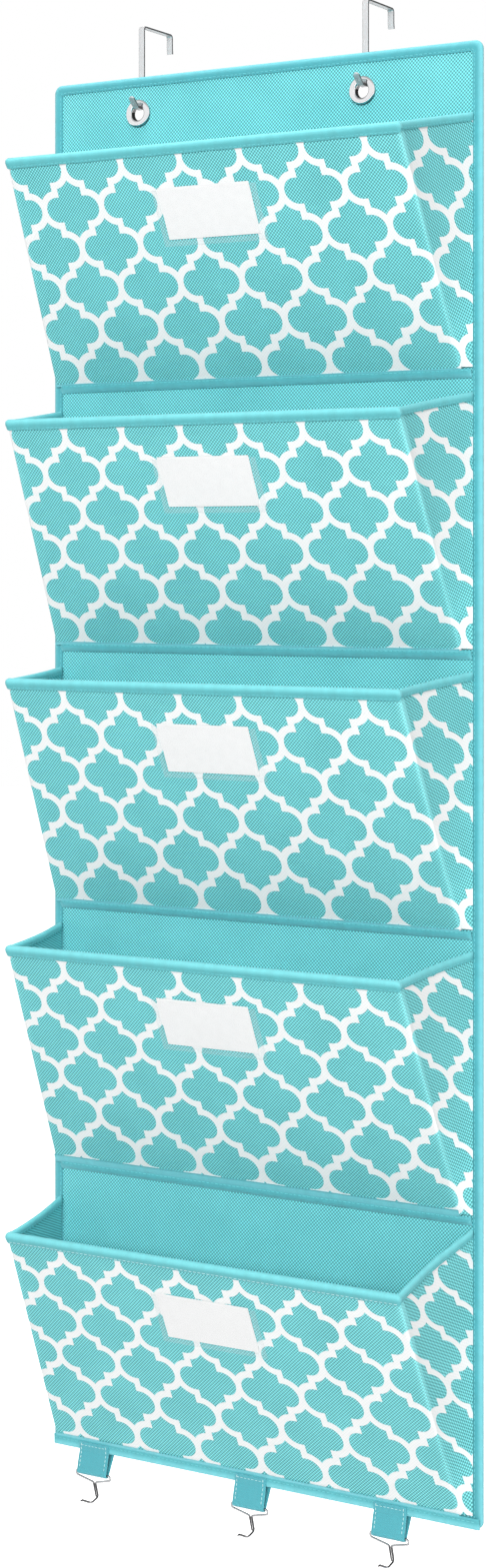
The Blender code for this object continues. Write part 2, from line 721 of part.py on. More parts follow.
def wire_hook_route():
    """One wire: a short stem strand, a bow round the webbing, the long strand and the crook.
    Points are (x, -out, height) from the middle of the bar."""
    strand = WIRE_RADIUS + CLEAR / 2
    bow = STRAP_WIDTH / 2 + BOW_SIDE_GAP + WIRE_RADIUS
    foot = -BOW_DROP - STEM_LENGTH
    tip_out = CROOK_REACH + CROOK_TIP_REACH
    corners = (
        (-strand, 0.0, foot),
        (-strand, 0.0, -BOW_DROP),
        (-bow, 0.0, -BOW_SIDE_DROP),
        (-bow, 0.0, 0.0),
        (bow, 0.0, 0.0),
        (bow, 0.0, -BOW_SIDE_DROP),
        (strand, 0.0, -BOW_DROP),
        (strand, 0.0, foot),
        (strand, -CROOK_RUN, foot + CROOK_LOW),
        (strand, -CROOK_REACH, foot + CROOK_RISE),
        (strand, -tip_out, foot + CROOK_RISE + CROOK_TIP_RISE),
    )
    radii = [BOW_CORNER_RADIUS] * 6 + [CROOK_INNER_RADIUS, CROOK_OUTER_RADIUS, CROOK_TIP_RADIUS]
    return rounded_route(corners, radii, WIRE_BEND_STEP_DEG)


def rest_tilt(route):
    """Angle at which a wire hangs with its centre of mass under the bar."""
    moment_out = 0.0
    moment_down = 0.0
    for start, end in zip(route, route[1:]):
        length = (end - start).length
        moment_out -= length * (start.y + end.y)
        moment_down -= length * (start.z + end.z)
    return math.atan2(moment_out, moment_down)


def build_wire_hook(name, x, material):
    route = wire_hook_route()
    out, height = wire_bar_place()
    pivot = make_empty(name + "_pivot", (x, -out, height), rest_tilt(route))
    curve = bpy.data.curves.new(name, "CURVE")
    curve.dimensions = "3D"
    curve.bevel_depth = WIRE_RADIUS
    curve.bevel_resolution = 2
    curve.use_fill_caps = True
    spline = curve.splines.new("POLY")
    spline.points.add(len(route) - 1)
    for point, place in zip(spline.points, route):
        point.co = (place.x, place.y, place.z, 1.0)
    add_part(name, curve, material, pivot)


def make_materials():
    return {
        "panel": make_material("panel_nonwoven", PANEL_AQUA, 0.85),
        "print": make_material("printed_nonwoven", PRINT_AQUA, 0.85),
        "lining": make_material("lining_nonwoven", LINING_AQUA, 0.90),
        "tape": make_material("binding_tape", TAPE_AQUA, 0.70),
        "webbing": make_material("webbing", WEBBING_AQUA, 0.55),
        "board": make_material("board", BOARD_GREY, 0.90),
        "card": make_material("card", CARD_WHITE, 0.60),
        "film": make_material("clear_film", FILM_CLEAR, 0.15),
        "nickel": make_material("nickel_plate", NICKEL, 0.25, 1.0),
        "chrome": make_material("bright_wire", CHROME, 0.18, 1.0),
    }


def build_organizer():
    materials = make_materials()
    build_back_panel(materials["panel"])
    build_panel_binding(materials["tape"])
    for side, x in zip(("left", "right"), EYELET_XS):
        build_eyelet(f"eyelet_{side}", x, materials["nickel"])
        build_washer(f"eyelet_washer_{side}", x, materials["nickel"])
        build_door_hook(f"door_hook_{side}", x, materials["nickel"])
    for index in range(POCKET_COUNT):
        build_pocket(index, materials)
    for side, x in zip(("left", "middle", "right"), STRAP_XS):
        build_strap(f"strap_loop_{side}", x, materials["webbing"])
        build_wire_hook(f"wire_hook_{side}", x, materials["chrome"])


clear_scene()
PARTS = make_collection("over_door_file_organizer")
CUTTERS = make_collection("cutters", hidden=True)
build_organizer()
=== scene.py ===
"""Looks for the over-the-door file organizer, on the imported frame. Metres, Z up, front -Y."""

from math import acos, atan2, ceil, copysign, cos, degrees, dist, exp, hypot, pi, radians
from math import sin, sqrt, tan

import bpy
import numpy as np
from mathutils import Matrix, Vector, noise


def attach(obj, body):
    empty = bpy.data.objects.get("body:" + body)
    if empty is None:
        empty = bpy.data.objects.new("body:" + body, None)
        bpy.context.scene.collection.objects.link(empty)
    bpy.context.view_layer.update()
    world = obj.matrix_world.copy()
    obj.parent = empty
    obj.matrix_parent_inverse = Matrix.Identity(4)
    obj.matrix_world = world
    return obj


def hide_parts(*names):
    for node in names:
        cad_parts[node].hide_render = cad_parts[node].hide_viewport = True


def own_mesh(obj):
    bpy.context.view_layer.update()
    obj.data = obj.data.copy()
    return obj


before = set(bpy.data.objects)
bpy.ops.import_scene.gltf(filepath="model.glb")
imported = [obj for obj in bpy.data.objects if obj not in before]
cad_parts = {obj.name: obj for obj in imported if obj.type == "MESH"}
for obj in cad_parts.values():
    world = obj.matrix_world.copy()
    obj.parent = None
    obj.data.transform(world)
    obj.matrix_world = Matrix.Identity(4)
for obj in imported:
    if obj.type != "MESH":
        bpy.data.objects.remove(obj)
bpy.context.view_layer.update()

CAMERA_PLACE = (0.922, -1.5811, -0.379)
AMBIENT = 0.28
MM = 0.001

# Sizes repeated from the frame
CLEAR = 0.0003
PANEL_WIDTH = 0.340
PANEL_TOP = -0.037
PANEL_HEIGHT = 0.980
PANEL_BOTTOM = PANEL_TOP - PANEL_HEIGHT
PANEL_FRONT_OUT = 0.0051
PANEL_MIDDLE_OUT = 0.0043
TOP_CORNER = 0.005
BOTTOM_CORNER = 0.004
BINDING_WIDTH = 0.0060
BINDING_REAR_OUT = 0.0024
BINDING_FOLD = 0.0011
WINDOW_CORNER = 0.0015
EYELET_XS = (-0.291 * PANEL_WIDTH, 0.239 * PANEL_WIDTH)
EYELET_HEIGHT = PANEL_TOP - 0.0247
BORE_RADIUS = 0.0050
BARREL_WALL = 0.0006
FLANGE_WIDTH = 0.0050
DOME_HEIGHT = 0.0018
FLANGE_REAR_OUT = PANEL_FRONT_OUT + CLEAR
DOOR_GAP = 0.036
STRIP_WIDTH = 0.0046
STRIP_THICKNESS = 0.0012
COUNT = 5
FIRST_LIP_DROP = 0.051
HEIGHT_SHARES = (0.895, 0.904, 0.907, 0.928, 1.002)
DROP_SHARES = (0.070, 0.057, 0.034, 0.042, 0.126)
PITCH = (PANEL_HEIGHT - FIRST_LIP_DROP - 0.0061) / (COUNT - 1 + HEIGHT_SHARES[-1])
LAST_HEM_OUT = 0.0084
HINGE_OUT = 0.0078
REACH = 0.079 - HINGE_OUT + PANEL_FRONT_OUT
TOP_INSET = 0.018
BOTTOM_INSET = 0.009
TOP_SHIFT = -0.012 * PANEL_WIDTH
BOTTOM_SHIFT = -0.0175 * PANEL_WIDTH
GUSSET_BACK_X = 0.1644
GUSSET_BACK_OUT = 0.0069
GUSSET_BOW = 0.0025
LABEL_X = -0.015 * PANEL_WIDTH
CARD_WIDTH = 0.072
CARD_HEIGHT = 0.037
CARD_BELOW_LIP = 0.029
SLEEVE_MARGIN = 0.0050
CLOSE_TURN = radians(21)
STRAP_XS = [share * PANEL_WIDTH for share in (-0.394, -0.0125, 0.307)]
STRAP_WIDTH = 0.025
STRAP_THICKNESS = 0.0012
WIRE_RADIUS = 0.0007
BAR_OUT = PANEL_FRONT_OUT + 0.0060
BAR_HEIGHT = PANEL_BOTTOM - 0.0175 + STRAP_THICKNESS + CLEAR + WIRE_RADIUS
BOW_DROP = 0.0076
SIDES = ("left", "middle", "right")

# Cloth and thread, as the looks need them
TAPE_THICKNESS = 0.0007
HEM_THICKNESS = 0.0005
PANEL_CLOTH = 0.0014
FRONT_CLOTH = 0.0005
LINING_CLOTH = 0.0004
GUSSET_CLOTH = 0.0006
CARD_THICKNESS = 0.00032
FILM_THICKNESS = 0.00020
STITCH = 0.0026
STITCH_GAP = 0.0009
FRONT_TURN = 0.0009
FRONT_TURN_RADIUS = 0.0016
FRONT_TURN_BACK = 0.0032
BOND_PITCH = 0.0024

# The trellis print, in its own millimetres
TRELLIS_COLUMN = 48.6
TRELLIS_ROW = 30.4
LOBE_X, LOBE_RADIUS = 12.45, 9.45
NOTCH_X, NOTCH_RADIUS = 11.85, 14.6
WAIST_X = 9.7
# Below the lip, in metres: where the first and the sixth row of each pocket lie
TRELLIS_ROWS = ((0.0097, 0.1603), (0.0113, 0.1627), (0.0113, 0.1673), (0.0130, 0.1650),
                (0.0080, 0.1647))
# Across, in metres: where a column of each pocket lies
TRELLIS_X = (-0.0415, -0.0410, -0.0420, -0.0425, -0.0435)
# A gusset's print as a share of its width on the front, seen by the camera
GUSSET_PRINT_WIDTH = 0.83
# How far the rear top end of each gusset lies above the solid's, by side
GUSSET_REARS = {-1: (0.0, 0.0, 0.0, 0.0, -0.0130), 1: (0.0035, 0.0035, 0.0035, 0.0035, 0.0050)}
# How far the hem's upper ply covers the foot of each front
HEM_COVERS = (0.0012, 0.0020, 0.0018, 0.0055, 0.0022)


def back_lip(i):
    return PANEL_TOP - FIRST_LIP_DROP - i * PITCH


def seam(i):
    return back_lip(i) - HEIGHT_SHARES[i] * PITCH


def rise(i):
    return back_lip(i) - DROP_SHARES[i] * PITCH - seam(i)


def length(i):
    return hypot(REACH, rise(i))


def lean(i):
    return atan2(REACH, rise(i))


def half_width(share):
    return PANEL_WIDTH / 2 - BOTTOM_INSET - (TOP_INSET - BOTTOM_INSET) * share


def middle(share):
    return BOTTOM_SHIFT + (TOP_SHIFT - BOTTOM_SHIFT) * share


def front_point(i, x, face, slope):
    """A place on a pocket's front: across, outwards from the cloth, and up the slope."""
    out = HINGE_OUT + slope * sin(lean(i)) + face * cos(lean(i))
    return (x, -out, seam(i) + slope * cos(lean(i)) - face * sin(lean(i)))


def ripple(x, y, seed):
    """Smooth noise from -1 to 1, the same on each run."""
    return noise.noise(Vector((x, y, seed * 7.31)))


def pucker(along):
    """From -1 to 1, once a stitch."""
    return sin(along * 2 * pi / (STITCH + STITCH_GAP))


def spread(start, end, count):
    return list(np.linspace(start, end, count))


# Node graphs


class Field:
    """A node's output. Sums, differences and products of fields are nodes too."""

    def __init__(self, graph, socket):
        self.graph = graph
        self.socket = socket

    def __add__(self, other):
        return self.graph.math("ADD", self, other)

    def __sub__(self, other):
        return self.graph.math("SUBTRACT", self, other)

    def __rsub__(self, other):
        return self.graph.math("SUBTRACT", other, self)

    def __mul__(self, other):
        return self.graph.math("MULTIPLY", self, other)


class Graph:
    def __init__(self, name, world=None):
        self.material = world or bpy.data.materials.new(name)
        self.material.use_nodes = True
        self.tree = self.material.node_tree
        self.shader = self.tree.nodes["Background" if world else "Principled BSDF"]

    def put(self, socket, value):
        if isinstance(value, Field):
            self.tree.links.new(value.socket, socket)
        else:
            socket.default_value = value

    def set(self, **values):
        for key, value in values.items():
            self.put(self.shader.inputs[key.replace("_", " ")], value)

    def node(self, kind, inputs=(), **settings):
        node = self.tree.nodes.new(kind)
        for key, value in settings.items():
            setattr(node, key, value)
        for key, value in dict(inputs).items():
            self.put(node.inputs[key], value)
        return node

    def field(self, kind, inputs=(), output=0, **settings):
        return Field(self, self.node(kind, inputs, **settings).outputs[output])

    def math(self, operation, *values):
        return self.field("ShaderNodeMath", enumerate(values), operation=operation)

    def hypot(self, a, b):
        return self.math("SQRT", a * a + b * b)

    def wave(self, value, period):
        return self.math("SINE", value * (2 * pi / period))

    def ramp(self, value, low, high, to_low=0.0, to_high=1.0, kind="SMOOTHSTEP"):
        inputs = {"Value": value, "From Min": low, "From Max": high, "To Min": to_low,
                  "To Max": to_high}
        return self.field("ShaderNodeMapRange", inputs, "Result", interpolation_type=kind)

    def split(self, vector):
        node = self.node("ShaderNodeSeparateXYZ", {"Vector": vector})
        return [Field(self, output) for output in node.outputs]

    def uv(self, layer):
        return self.split(self.field("ShaderNodeUVMap", uv_map=layer))[:2]

    def place(self):
        return self.field("ShaderNodeTexCoord", output="Object")

    def noise(self, vector, scale, detail=2.0, roughness=0.5):
        """Noise in space, or on the cloth where the vector is a pair of its coordinates."""
        if isinstance(vector, tuple):
            vector = self.field("ShaderNodeCombineXYZ", enumerate(vector))
        inputs = {"Vector": vector, "Scale": scale, "Detail": detail, "Roughness": roughness}
        return self.field("ShaderNodeTexNoise", inputs, "Fac")

    def mix(self, factor, a, b):
        return self.field("ShaderNodeMix", {0: factor, 6: a, 7: b}, 2, data_type="RGBA")

    def bump(self, height, distance, strength):
        inputs = {"Height": height, "Distance": distance, "Strength": strength}
        self.set(Normal=self.field("ShaderNodeBump", inputs))


def shade(colour, factor, haze=0.0):
    return tuple(min(1.0, max(0.0, channel * factor + haze)) for channel in colour) + (1.0,)


def grey(level):
    return (level, level, level, 1.0)


def nonwoven(name, colour, printed=False):
    """Nonwoven cloth with crossed diagonal rows of pressed points, and the trellis on it with a
    painted highlight along the crease.
    """
    graph = Graph(name)
    x, y = graph.uv("cloth")
    rising = graph.wave(x - y, BOND_PITCH)
    falling = graph.wave(x + y * 0.93, BOND_PITCH / 0.96)
    points = rising * 0.55 + falling * 0.45
    fibres = graph.noise((x, y * 3.2), 900, 3.0, 0.65)
    patches = graph.noise((x, y), 26)
    tone = points * 0.85 + (fibres - 0.5) * 0.45 + (patches - 0.5) * 0.30
    factor = graph.ramp(tone, -0.6, 0.6, kind="LINEAR")
    cloth = graph.mix(factor, shade(colour, 0.50, -0.035), shade(colour, 1.40, 0.07))
    rough = graph.ramp(fibres, 0.3, 0.7, 0.62, 0.82)
    if printed:
        inked = trellis(graph)
        # Painted highlight along the crease, as strong as the fold layer gives.
        cloth = graph.mix(graph.uv("fold")[0] * 0.55, cloth, shade(colour, 1.40, 0.15))
        ink = graph.mix(factor, (0.83, 0.85, 0.85, 1), (0.90, 0.91, 0.91, 1))
        cloth = graph.mix(inked, cloth, ink)
        rough = graph.mix(inked, rough, grey(0.50))
    graph.set(Base_Color=cloth, Roughness=rough, Sheen_Weight=0.12, Sheen_Roughness=0.5,
              Specular_IOR_Level=0.35)
    graph.bump(points * 0.5 + fibres * 0.7, 0.00012, 0.8)
    return graph.material


def motif(graph, x, y):
    """Signed distance, in millimetres, to a quatrefoil with ogee points above and below."""
    lobe = graph.hypot(graph.math("MAXIMUM", x - LOBE_X, 0.0), y) - LOBE_RADIUS
    notch = graph.hypot(x - NOTCH_X, y - TRELLIS_ROW)
    point = graph.math("MAXIMUM", x - WAIST_X, NOTCH_RADIUS - notch)
    return graph.math("MINIMUM", lobe, point)


def trellis(graph):
    """1 on the white bands between the quatrefoils."""
    x, y = graph.uv("print")
    x = graph.math("PINGPONG", x * 1000, TRELLIS_COLUMN / 2)
    y = graph.math("PINGPONG", y * 1000, TRELLIS_ROW)
    first = motif(graph, x, y)
    second = motif(graph, TRELLIS_COLUMN / 2 - x, TRELLIS_ROW - y)
    return graph.ramp(graph.math("MINIMUM", first, second), -0.18, 0.18)


def tape(name, colour, highlight_strength, crest=0.0):
    """Smooth binding tape: fine ribs along it, creases across, and a painted highlight along the
    crest of its fold.
    """
    graph = Graph(name)
    x, y = graph.uv("cloth")
    ribs = graph.wave(x, 0.00062)
    picks = graph.wave(y, 0.0009)
    fibres = graph.noise((x * 2.0, y), 1100)
    creases = graph.noise((x * 0.25, y), 170)
    tone = ribs * picks * 0.22 + (fibres - 0.5) * 0.5 + (creases - 0.5) * 0.7
    factor = graph.ramp(tone, -0.5, 0.5, kind="LINEAR")
    cloth = graph.mix(factor, shade(colour, 0.74), shade(colour, 1.08))
    pale = graph.mix(factor, shade(colour, 1.05, 0.06), shade(colour, 1.35, 0.14))
    # Painted highlight: the colour pales within a few millimetres of the crest, by the given
    # strength.
    fold = graph.ramp(graph.math("ABSOLUTE", x - crest), 0.0008, 0.0050, 1.0, 0.0) * highlight_strength
    graph.set(Base_Color=graph.mix(fold, cloth, pale),
              Roughness=graph.ramp(creases, 0.3, 0.7, 0.45, 0.62),
              Sheen_Weight=0.15, Sheen_Roughness=0.4, Specular_IOR_Level=0.45)
    graph.bump(ribs * 0.2 + creases * 0.9, 0.00018, 0.7)
    return graph.material


def webbing(name, colour):
    """Herringbone webbing."""
    graph = Graph(name)
    x, y = graph.uv("cloth")
    rows = graph.wave(graph.math("PINGPONG", x, 0.0021) + y, 0.0011)
    warp = graph.wave(x, 0.00075)
    fibres = graph.noise((x * 3.0, y), 800)
    tone = rows * 0.24 + warp * 0.16 + (fibres - 0.5) * 0.6
    factor = graph.ramp(tone, -0.5, 0.5, kind="LINEAR")
    graph.set(Base_Color=graph.mix(factor, shade(colour, 0.70), shade(colour, 1.25)),
              Roughness=graph.ramp(fibres, 0.3, 0.7, 0.36, 0.52),
              Sheen_Weight=0.2, Sheen_Roughness=0.35, Specular_IOR_Level=0.5)
    graph.bump(rows + warp * 0.6, 0.00014, 0.8)
    return graph.material


def thread(name, colour):
    """Spun sewing thread, with its twist."""
    graph = Graph(name)
    x, y = graph.uv("cloth")
    twist = graph.wave(x + y * 1.6, 0.0006)
    factor = graph.ramp(twist, -1.0, 1.0)
    graph.set(Base_Color=graph.mix(factor, shade(colour, 0.72), shade(colour, 1.15)),
              Roughness=graph.ramp(twist, -1.0, 1.0, 0.5, 0.38),
              Sheen_Weight=0.1, Specular_IOR_Level=0.45)
    graph.bump(twist, 0.00005, 0.6)
    return graph.material


def metal(name, colour, rough_low, rough_high, stretch=(1, 1, 1), painted_shade=None, stem=None,
          plated=1.0):
    """Plated metal with faint drawing lines and clouding.

    With the dark band option it is darker by one cloth coordinate: painted shade and dark
    reflection at a cut edge, at a rim and in a bore. With stem it is darker between two heights:
    painted shade where two strands of wire meet.
    """
    graph = Graph(name)
    spot = graph.field("ShaderNodeMapping", {"Vector": graph.place(), "Scale": stretch})
    lines = graph.noise(spot, 900, 3.0, 0.6)
    tone = lines * 0.4 + graph.noise(graph.place(), 140) * 0.6
    plate = graph.mix(tone, shade(colour, 0.88), shade(colour, 1.12))
    # Painted shade and dark reflection: darker by one cloth coordinate, at the strip's side faces
    # and at the eyelet's rim and bore.
    if painted_shade:
        axis, *limits = painted_shade
        near = graph.ramp(graph.math("ABSOLUTE", graph.uv("cloth")[axis]), *limits)
        plate = graph.mix(near, plate, shade(colour, 0.10))
    # Painted shade: darker between two heights, where the wire's two strands lie together.
    if stem:
        height = graph.split(graph.place())[2]
        above = graph.ramp(height, stem[0] - 0.001, stem[0] + 0.001)
        below = graph.ramp(height, stem[1] - 0.001, stem[1] + 0.002, 0.85, 0.0)
        plate = graph.mix(above * below, plate, shade(colour, 0.08))
    graph.set(Base_Color=plate, Roughness=graph.ramp(tone, 0.3, 0.7, rough_low, rough_high),
              Metallic=plated)
    graph.bump(lines, 0.00003, 0.5)
    return graph.material


def paper(name, colour, grain):
    graph = Graph(name)
    fibres = graph.noise(graph.place(), 1400, 4.0, 0.65)
    tone = fibres * 0.6 + graph.noise(graph.place(), 90) * 0.4
    graph.set(Base_Color=graph.mix(tone, shade(colour, 1 - grain), shade(colour, 1 + grain)),
              Roughness=graph.ramp(fibres, 0.3, 0.7, 0.55, 0.75), Specular_IOR_Level=0.3)
    graph.bump(fibres, 0.00003, 0.1 + 2.5 * grain)
    return graph.material


def film(name):
    """Clear soft film, faintly hazed and rippled, and cloudier at its welded margins."""
    graph = Graph(name)
    x, y = graph.uv("cloth")
    haze = graph.noise((x, y), 160, 3.0)
    edge = CARD_WIDTH / 2 + 0.0004
    sides = graph.ramp(graph.math("ABSOLUTE", x), edge, edge + 0.0010, 0.0, 0.08)
    foot = graph.ramp(y, 0.0036, 0.0046, 0.08, 0.0)
    clear = graph.ramp(haze, 0.3, 0.7, 0.008, 0.020)
    graph.set(Base_Color=graph.mix(haze, (0.74, 0.88, 0.90, 1), (0.86, 0.94, 0.95, 1)),
              Alpha=clear + graph.math("MAXIMUM", sides, foot),
              Roughness=graph.ramp(haze, 0.3, 0.7, 0.12, 0.24), Specular_IOR_Level=0.5)
    graph.bump(graph.noise((x, y), 60), 0.0004, 0.4)
    return graph.material


MATERIALS = {
    "panel": nonwoven("nonwoven_plain", (0.157, 0.594, 0.630)),
    "print": nonwoven("nonwoven_trellis", (0.150, 0.565, 0.590), printed=True),
    "lining": nonwoven("nonwoven_lining", (0.125, 0.545, 0.580)),
    # The third value sets how strong each tape's painted highlight is at its crest.
    "tape": tape("binding_tape", (0.124, 0.535, 0.575), 0.72),
    "edge": tape("binding_tape_edge", (0.100, 0.458, 0.515), 0.75),
    "hem": tape("binding_tape_hem", (0.114, 0.505, 0.560), 0.8, 0.0012),
    "webbing": webbing("webbing", (0.100, 0.480, 0.555)),
    "thread": thread("thread", (0.200, 0.690, 0.730)),
    "light_thread": thread("light_thread", (0.640, 0.900, 0.910)),
    # The strip's side faces and the eyelet's rim and bore get painted shade and dark reflection.
    "strip": metal("nickel_strip", (0.62, 0.62, 0.63), 0.20, 0.30, (1, 1, 0.05),
                   painted_shade=(0, 0.0019, 0.00228, 0.0, 0.8), plated=0.35),
    "eyelet": metal("nickel_eyelet", (0.80, 0.80, 0.81), 0.05, 0.12,
                    painted_shade=(1, 0.0056, 0.0063, 0.9, 0.0)),
    # The wire is darker along its stem as painted shade.
    "wire": metal("bright_wire", (0.52, 0.52, 0.53), 0.07, 0.16,
                  stem=(BAR_HEIGHT - 0.0190, BAR_HEIGHT - 0.0080)),
    "board": paper("grey_board", (0.46, 0.44, 0.40), 0.16),
    "card": paper("white_card", (0.85, 0.85, 0.85), 0.012),
    "film": film("clear_film"),
}


# Meshes


def linked(name, data):
    obj = bpy.data.objects.new(name, data)
    bpy.context.scene.collection.objects.link(obj)
    return obj


def dress(piece, body, node=None):
    """Puts a piece on a body, in place of a node of the frame."""
    if node:
        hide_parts(node)
    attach(piece, body)
    return piece


def finish_mesh(name, points, faces, cloth, materials, sharp_deg=48, prints=None, slots=None):
    mesh = bpy.data.meshes.new(name)
    mesh.from_pydata([tuple(p) for p in points], [], faces)
    corners = np.array([v for face in faces for v in face])
    layers = [("cloth", cloth)]
    if prints is not None:
        # The print's third column, the strength of the painted crease highlight, goes in the fold
        # layer.
        layers += [("print", prints[:, :2]), ("fold", prints[:, 2:].repeat(2, axis=1))]
    for layer, values in layers:
        uv = mesh.uv_layers.new(name=layer)
        uv.data.foreach_set("uv", np.asarray(values, np.float32)[corners].ravel())
    for key in materials:
        mesh.materials.append(MATERIALS[key])
    if slots is not None:
        mesh.polygons.foreach_set("material_index", slots)
    mesh.shade_smooth()
    mesh.set_sharp_from_angle(angle=radians(sharp_deg))
    mesh.validate()
    return linked(name, mesh)


def grid_faces(rows, columns, first=0, wrap=False):
    """Quads between rows of points. With wrap, each row's last point also joins its first."""
    faces = []
    for start in range(first, first + (rows - 1) * columns, columns):
        for column in range(columns if wrap else columns - 1):
            a, b = start + column, start + (column + 1) % columns
            faces.append((a, b, b + columns, a + columns))
    return faces


def shell(name, mid, thickness, materials, cloth=None, prints=None, ring=False):
    """A sheet with two faces and a rim, through rows of points. Its front is across x along."""
    cloth = metres(mid) if cloth is None else cloth
    mid = np.asarray(mid, float)
    rows, columns = mid.shape[:2]
    along = np.gradient(mid, axis=0)
    across = np.gradient(mid, axis=1)
    if ring:
        along[0] = along[-1] = mid[1] - mid[-2]
    normal = np.cross(across, along)
    normal /= np.maximum(np.linalg.norm(normal, axis=2, keepdims=True), 1e-12)
    half = np.asarray(thickness, float) / 2
    normal *= half[..., None] if half.ndim else half
    points = np.concatenate([(mid + normal).reshape(-1, 3), (mid - normal).reshape(-1, 3)])
    size = rows * columns
    front = grid_faces(rows, columns)
    rear = [face[::-1] for face in grid_faces(rows, columns, size)]
    grid = np.arange(size).reshape(rows, columns)
    edge = [grid[0], grid[1:, -1], grid[-1, -2::-1], grid[-2:0:-1, 0]]
    edge = np.concatenate(edge).tolist()
    rim = [(a, a + size, b + size, b) for a, b in zip(edge, edge[1:] + edge[:1])]
    slots = [0] * len(front) + [len(materials) - 1] * len(rear) + [0] * len(rim)
    cloth = np.tile(np.asarray(cloth, float).reshape(-1, 2), (2, 1))
    if prints is not None:
        prints = np.tile(np.asarray(prints, float).reshape(-1, 3), (2, 1))
    return finish_mesh(name, points, front + rear + rim, cloth, materials, prints=prints,
                       slots=slots)


def metres(mid):
    """Cloth coordinates of rows of points: across from the middle, and along the middle column."""
    mid = np.asarray(mid, float)
    steps = np.linalg.norm(np.diff(mid, axis=1), axis=2)
    across = np.concatenate([np.zeros((len(mid), 1)), np.cumsum(steps, axis=1)], axis=1)
    across -= across[:, -1:] / 2
    centre = mid[:, mid.shape[1] // 2]
    along = np.concatenate([[0], np.cumsum(np.linalg.norm(np.diff(centre, axis=0), axis=1))])
    return np.stack([across, np.broadcast_to(along[:, None], across.shape)], axis=-1)


def sheet_area(mid):
    mid = np.asarray(mid, float)
    corner = mid[:-1, :-1]
    quads = np.cross(mid[:-1, 1:] - corner, mid[1:, :-1] - corner)
    return float(np.linalg.norm(quads, axis=2).sum())


def unzip(table):
    """Rows of (point, cloth, print) as three grids."""
    return [[[cell[k] for cell in row] for row in table] for k in range(3)]


def stitches(name, path, way, material="thread", stitch=STITCH, gap=STITCH_GAP, radius=0.00024):
    """Lock stitches along a path: short spindles that dip into the cloth at both ends."""
    path = [Vector(p) for p in path]
    up = Vector(way).normalized()
    steps = [0.0]
    for a, b in zip(path, path[1:]):
        steps.append(steps[-1] + (b - a).length)

    def at(distance):
        index = min(max(int(np.searchsorted(steps, distance)) - 1, 0), len(path) - 2)
        share = (distance - steps[index]) / max(steps[index + 1] - steps[index], 1e-9)
        return path[index].lerp(path[index + 1], share)

    # Each ring's share of the length, and its lift and width in radii
    flatness = 0.75
    rings = ((0.0, -0.6, 0.25), (0.22, 0.55, 0.9), (0.78, 0.55, 0.9), (1.0, -0.6, 0.25))
    points, faces, cloth = [], [], []
    start = gap
    while start + stitch < steps[-1]:
        places = [at(start + stitch * share) for share, _, _ in rings]
        side = (places[-1] - places[0]).normalized().cross(up).normalized()
        first = len(points)
        for place, (share, height, width) in zip(places, rings):
            for corner in range(6):
                angle = pi * corner / 3
                lift = radius * (height + sin(angle) * width * flatness)
                points.append(place + up * lift + side * cos(angle) * radius * width)
                cloth.append((corner * radius, start + stitch * share))
        faces += grid_faces(4, 6, first, wrap=True)
        faces.append(tuple(range(first + 5, first - 1, -1)))
        faces.append(tuple(range(first + 18, first + 24)))
        start += stitch + gap
    return finish_mesh(name, points, faces, cloth, [material], 75)


# Camera and light


def make_camera():
    data = bpy.data.cameras.new("camera")
    data.sensor_width = 36.0
    data.lens = 60.6
    data.shift_y = -0.1429
    data.clip_end = 60.0
    camera = linked("camera", data)
    camera.location = CAMERA_PLACE
    camera.rotation_euler = (radians(90), 0.0, radians(30.67))
    bpy.context.scene.camera = camera


def area_light(name, place, aim_height, size, power):
    data = bpy.data.lights.new(name, "AREA")
    data.shape = "RECTANGLE"
    data.size, data.size_y = size
    data.energy = power
    lamp = linked(name, data)
    lamp.location = place
    lamp.visible_glossy = False
    way = Vector((0, 0, aim_height)) - Vector(place)
    lamp.rotation_euler = way.to_track_quat("-Z", "Y").to_euler()


def seen(graph):
    """1 for camera, glossy and transmission rays, and 1 for camera rays alone."""
    path = graph.node("ShaderNodeLightPath")
    camera, glossy, through = [Field(graph, path.outputs[f"Is {kind} Ray"])
                               for kind in ("Camera", "Glossy", "Transmission")]
    return graph.math("MAXIMUM", camera, graph.math("MAXIMUM", glossy, through)), camera


def make_light():
    world = bpy.data.worlds.new("studio")
    bpy.context.scene.world = world
    graph = Graph("studio", world)
    visible, camera_ray = seen(graph)
    _, back, up = graph.split(graph.field("ShaderNodeTexCoord", output="Generated"))
    # Metal mirrors a dark band below the horizon, and a dark side behind the door
    low = graph.ramp(up, -0.25, -0.02)
    deep = graph.ramp(up, -0.90, -0.60, 0.55, 0.0)
    high = graph.ramp(up, 0.45, 0.80, 1.0, 0.50)
    behind = graph.ramp(back, -0.05, 0.60, 1.0, 0.08)
    bands = graph.math("MAXIMUM", low * high, deep)
    mirrored = graph.math("MAXIMUM", bands * behind + 0.03, camera_ray)
    graph.set(Color=grey(1), Strength=graph.ramp(visible, 0.0, 1.0, AMBIENT, mirrored, "LINEAR"))
    area_light("key", (1.4, -4.2, 0.9), -0.60, (2.4, 1.6), 186)
    area_light("fill", (2.7, -0.9, -0.3), -0.55, (1.6, 2.0), 17)
    area_light("top", (-0.2, -0.1, 1.4), -0.05, (1.2, 0.8), 22)
    area_light("back", (-1.4, 3.8, 0.9), -0.60, (2.4, 1.6), 130)
    bpy.context.scene.view_settings.view_transform = "Standard"


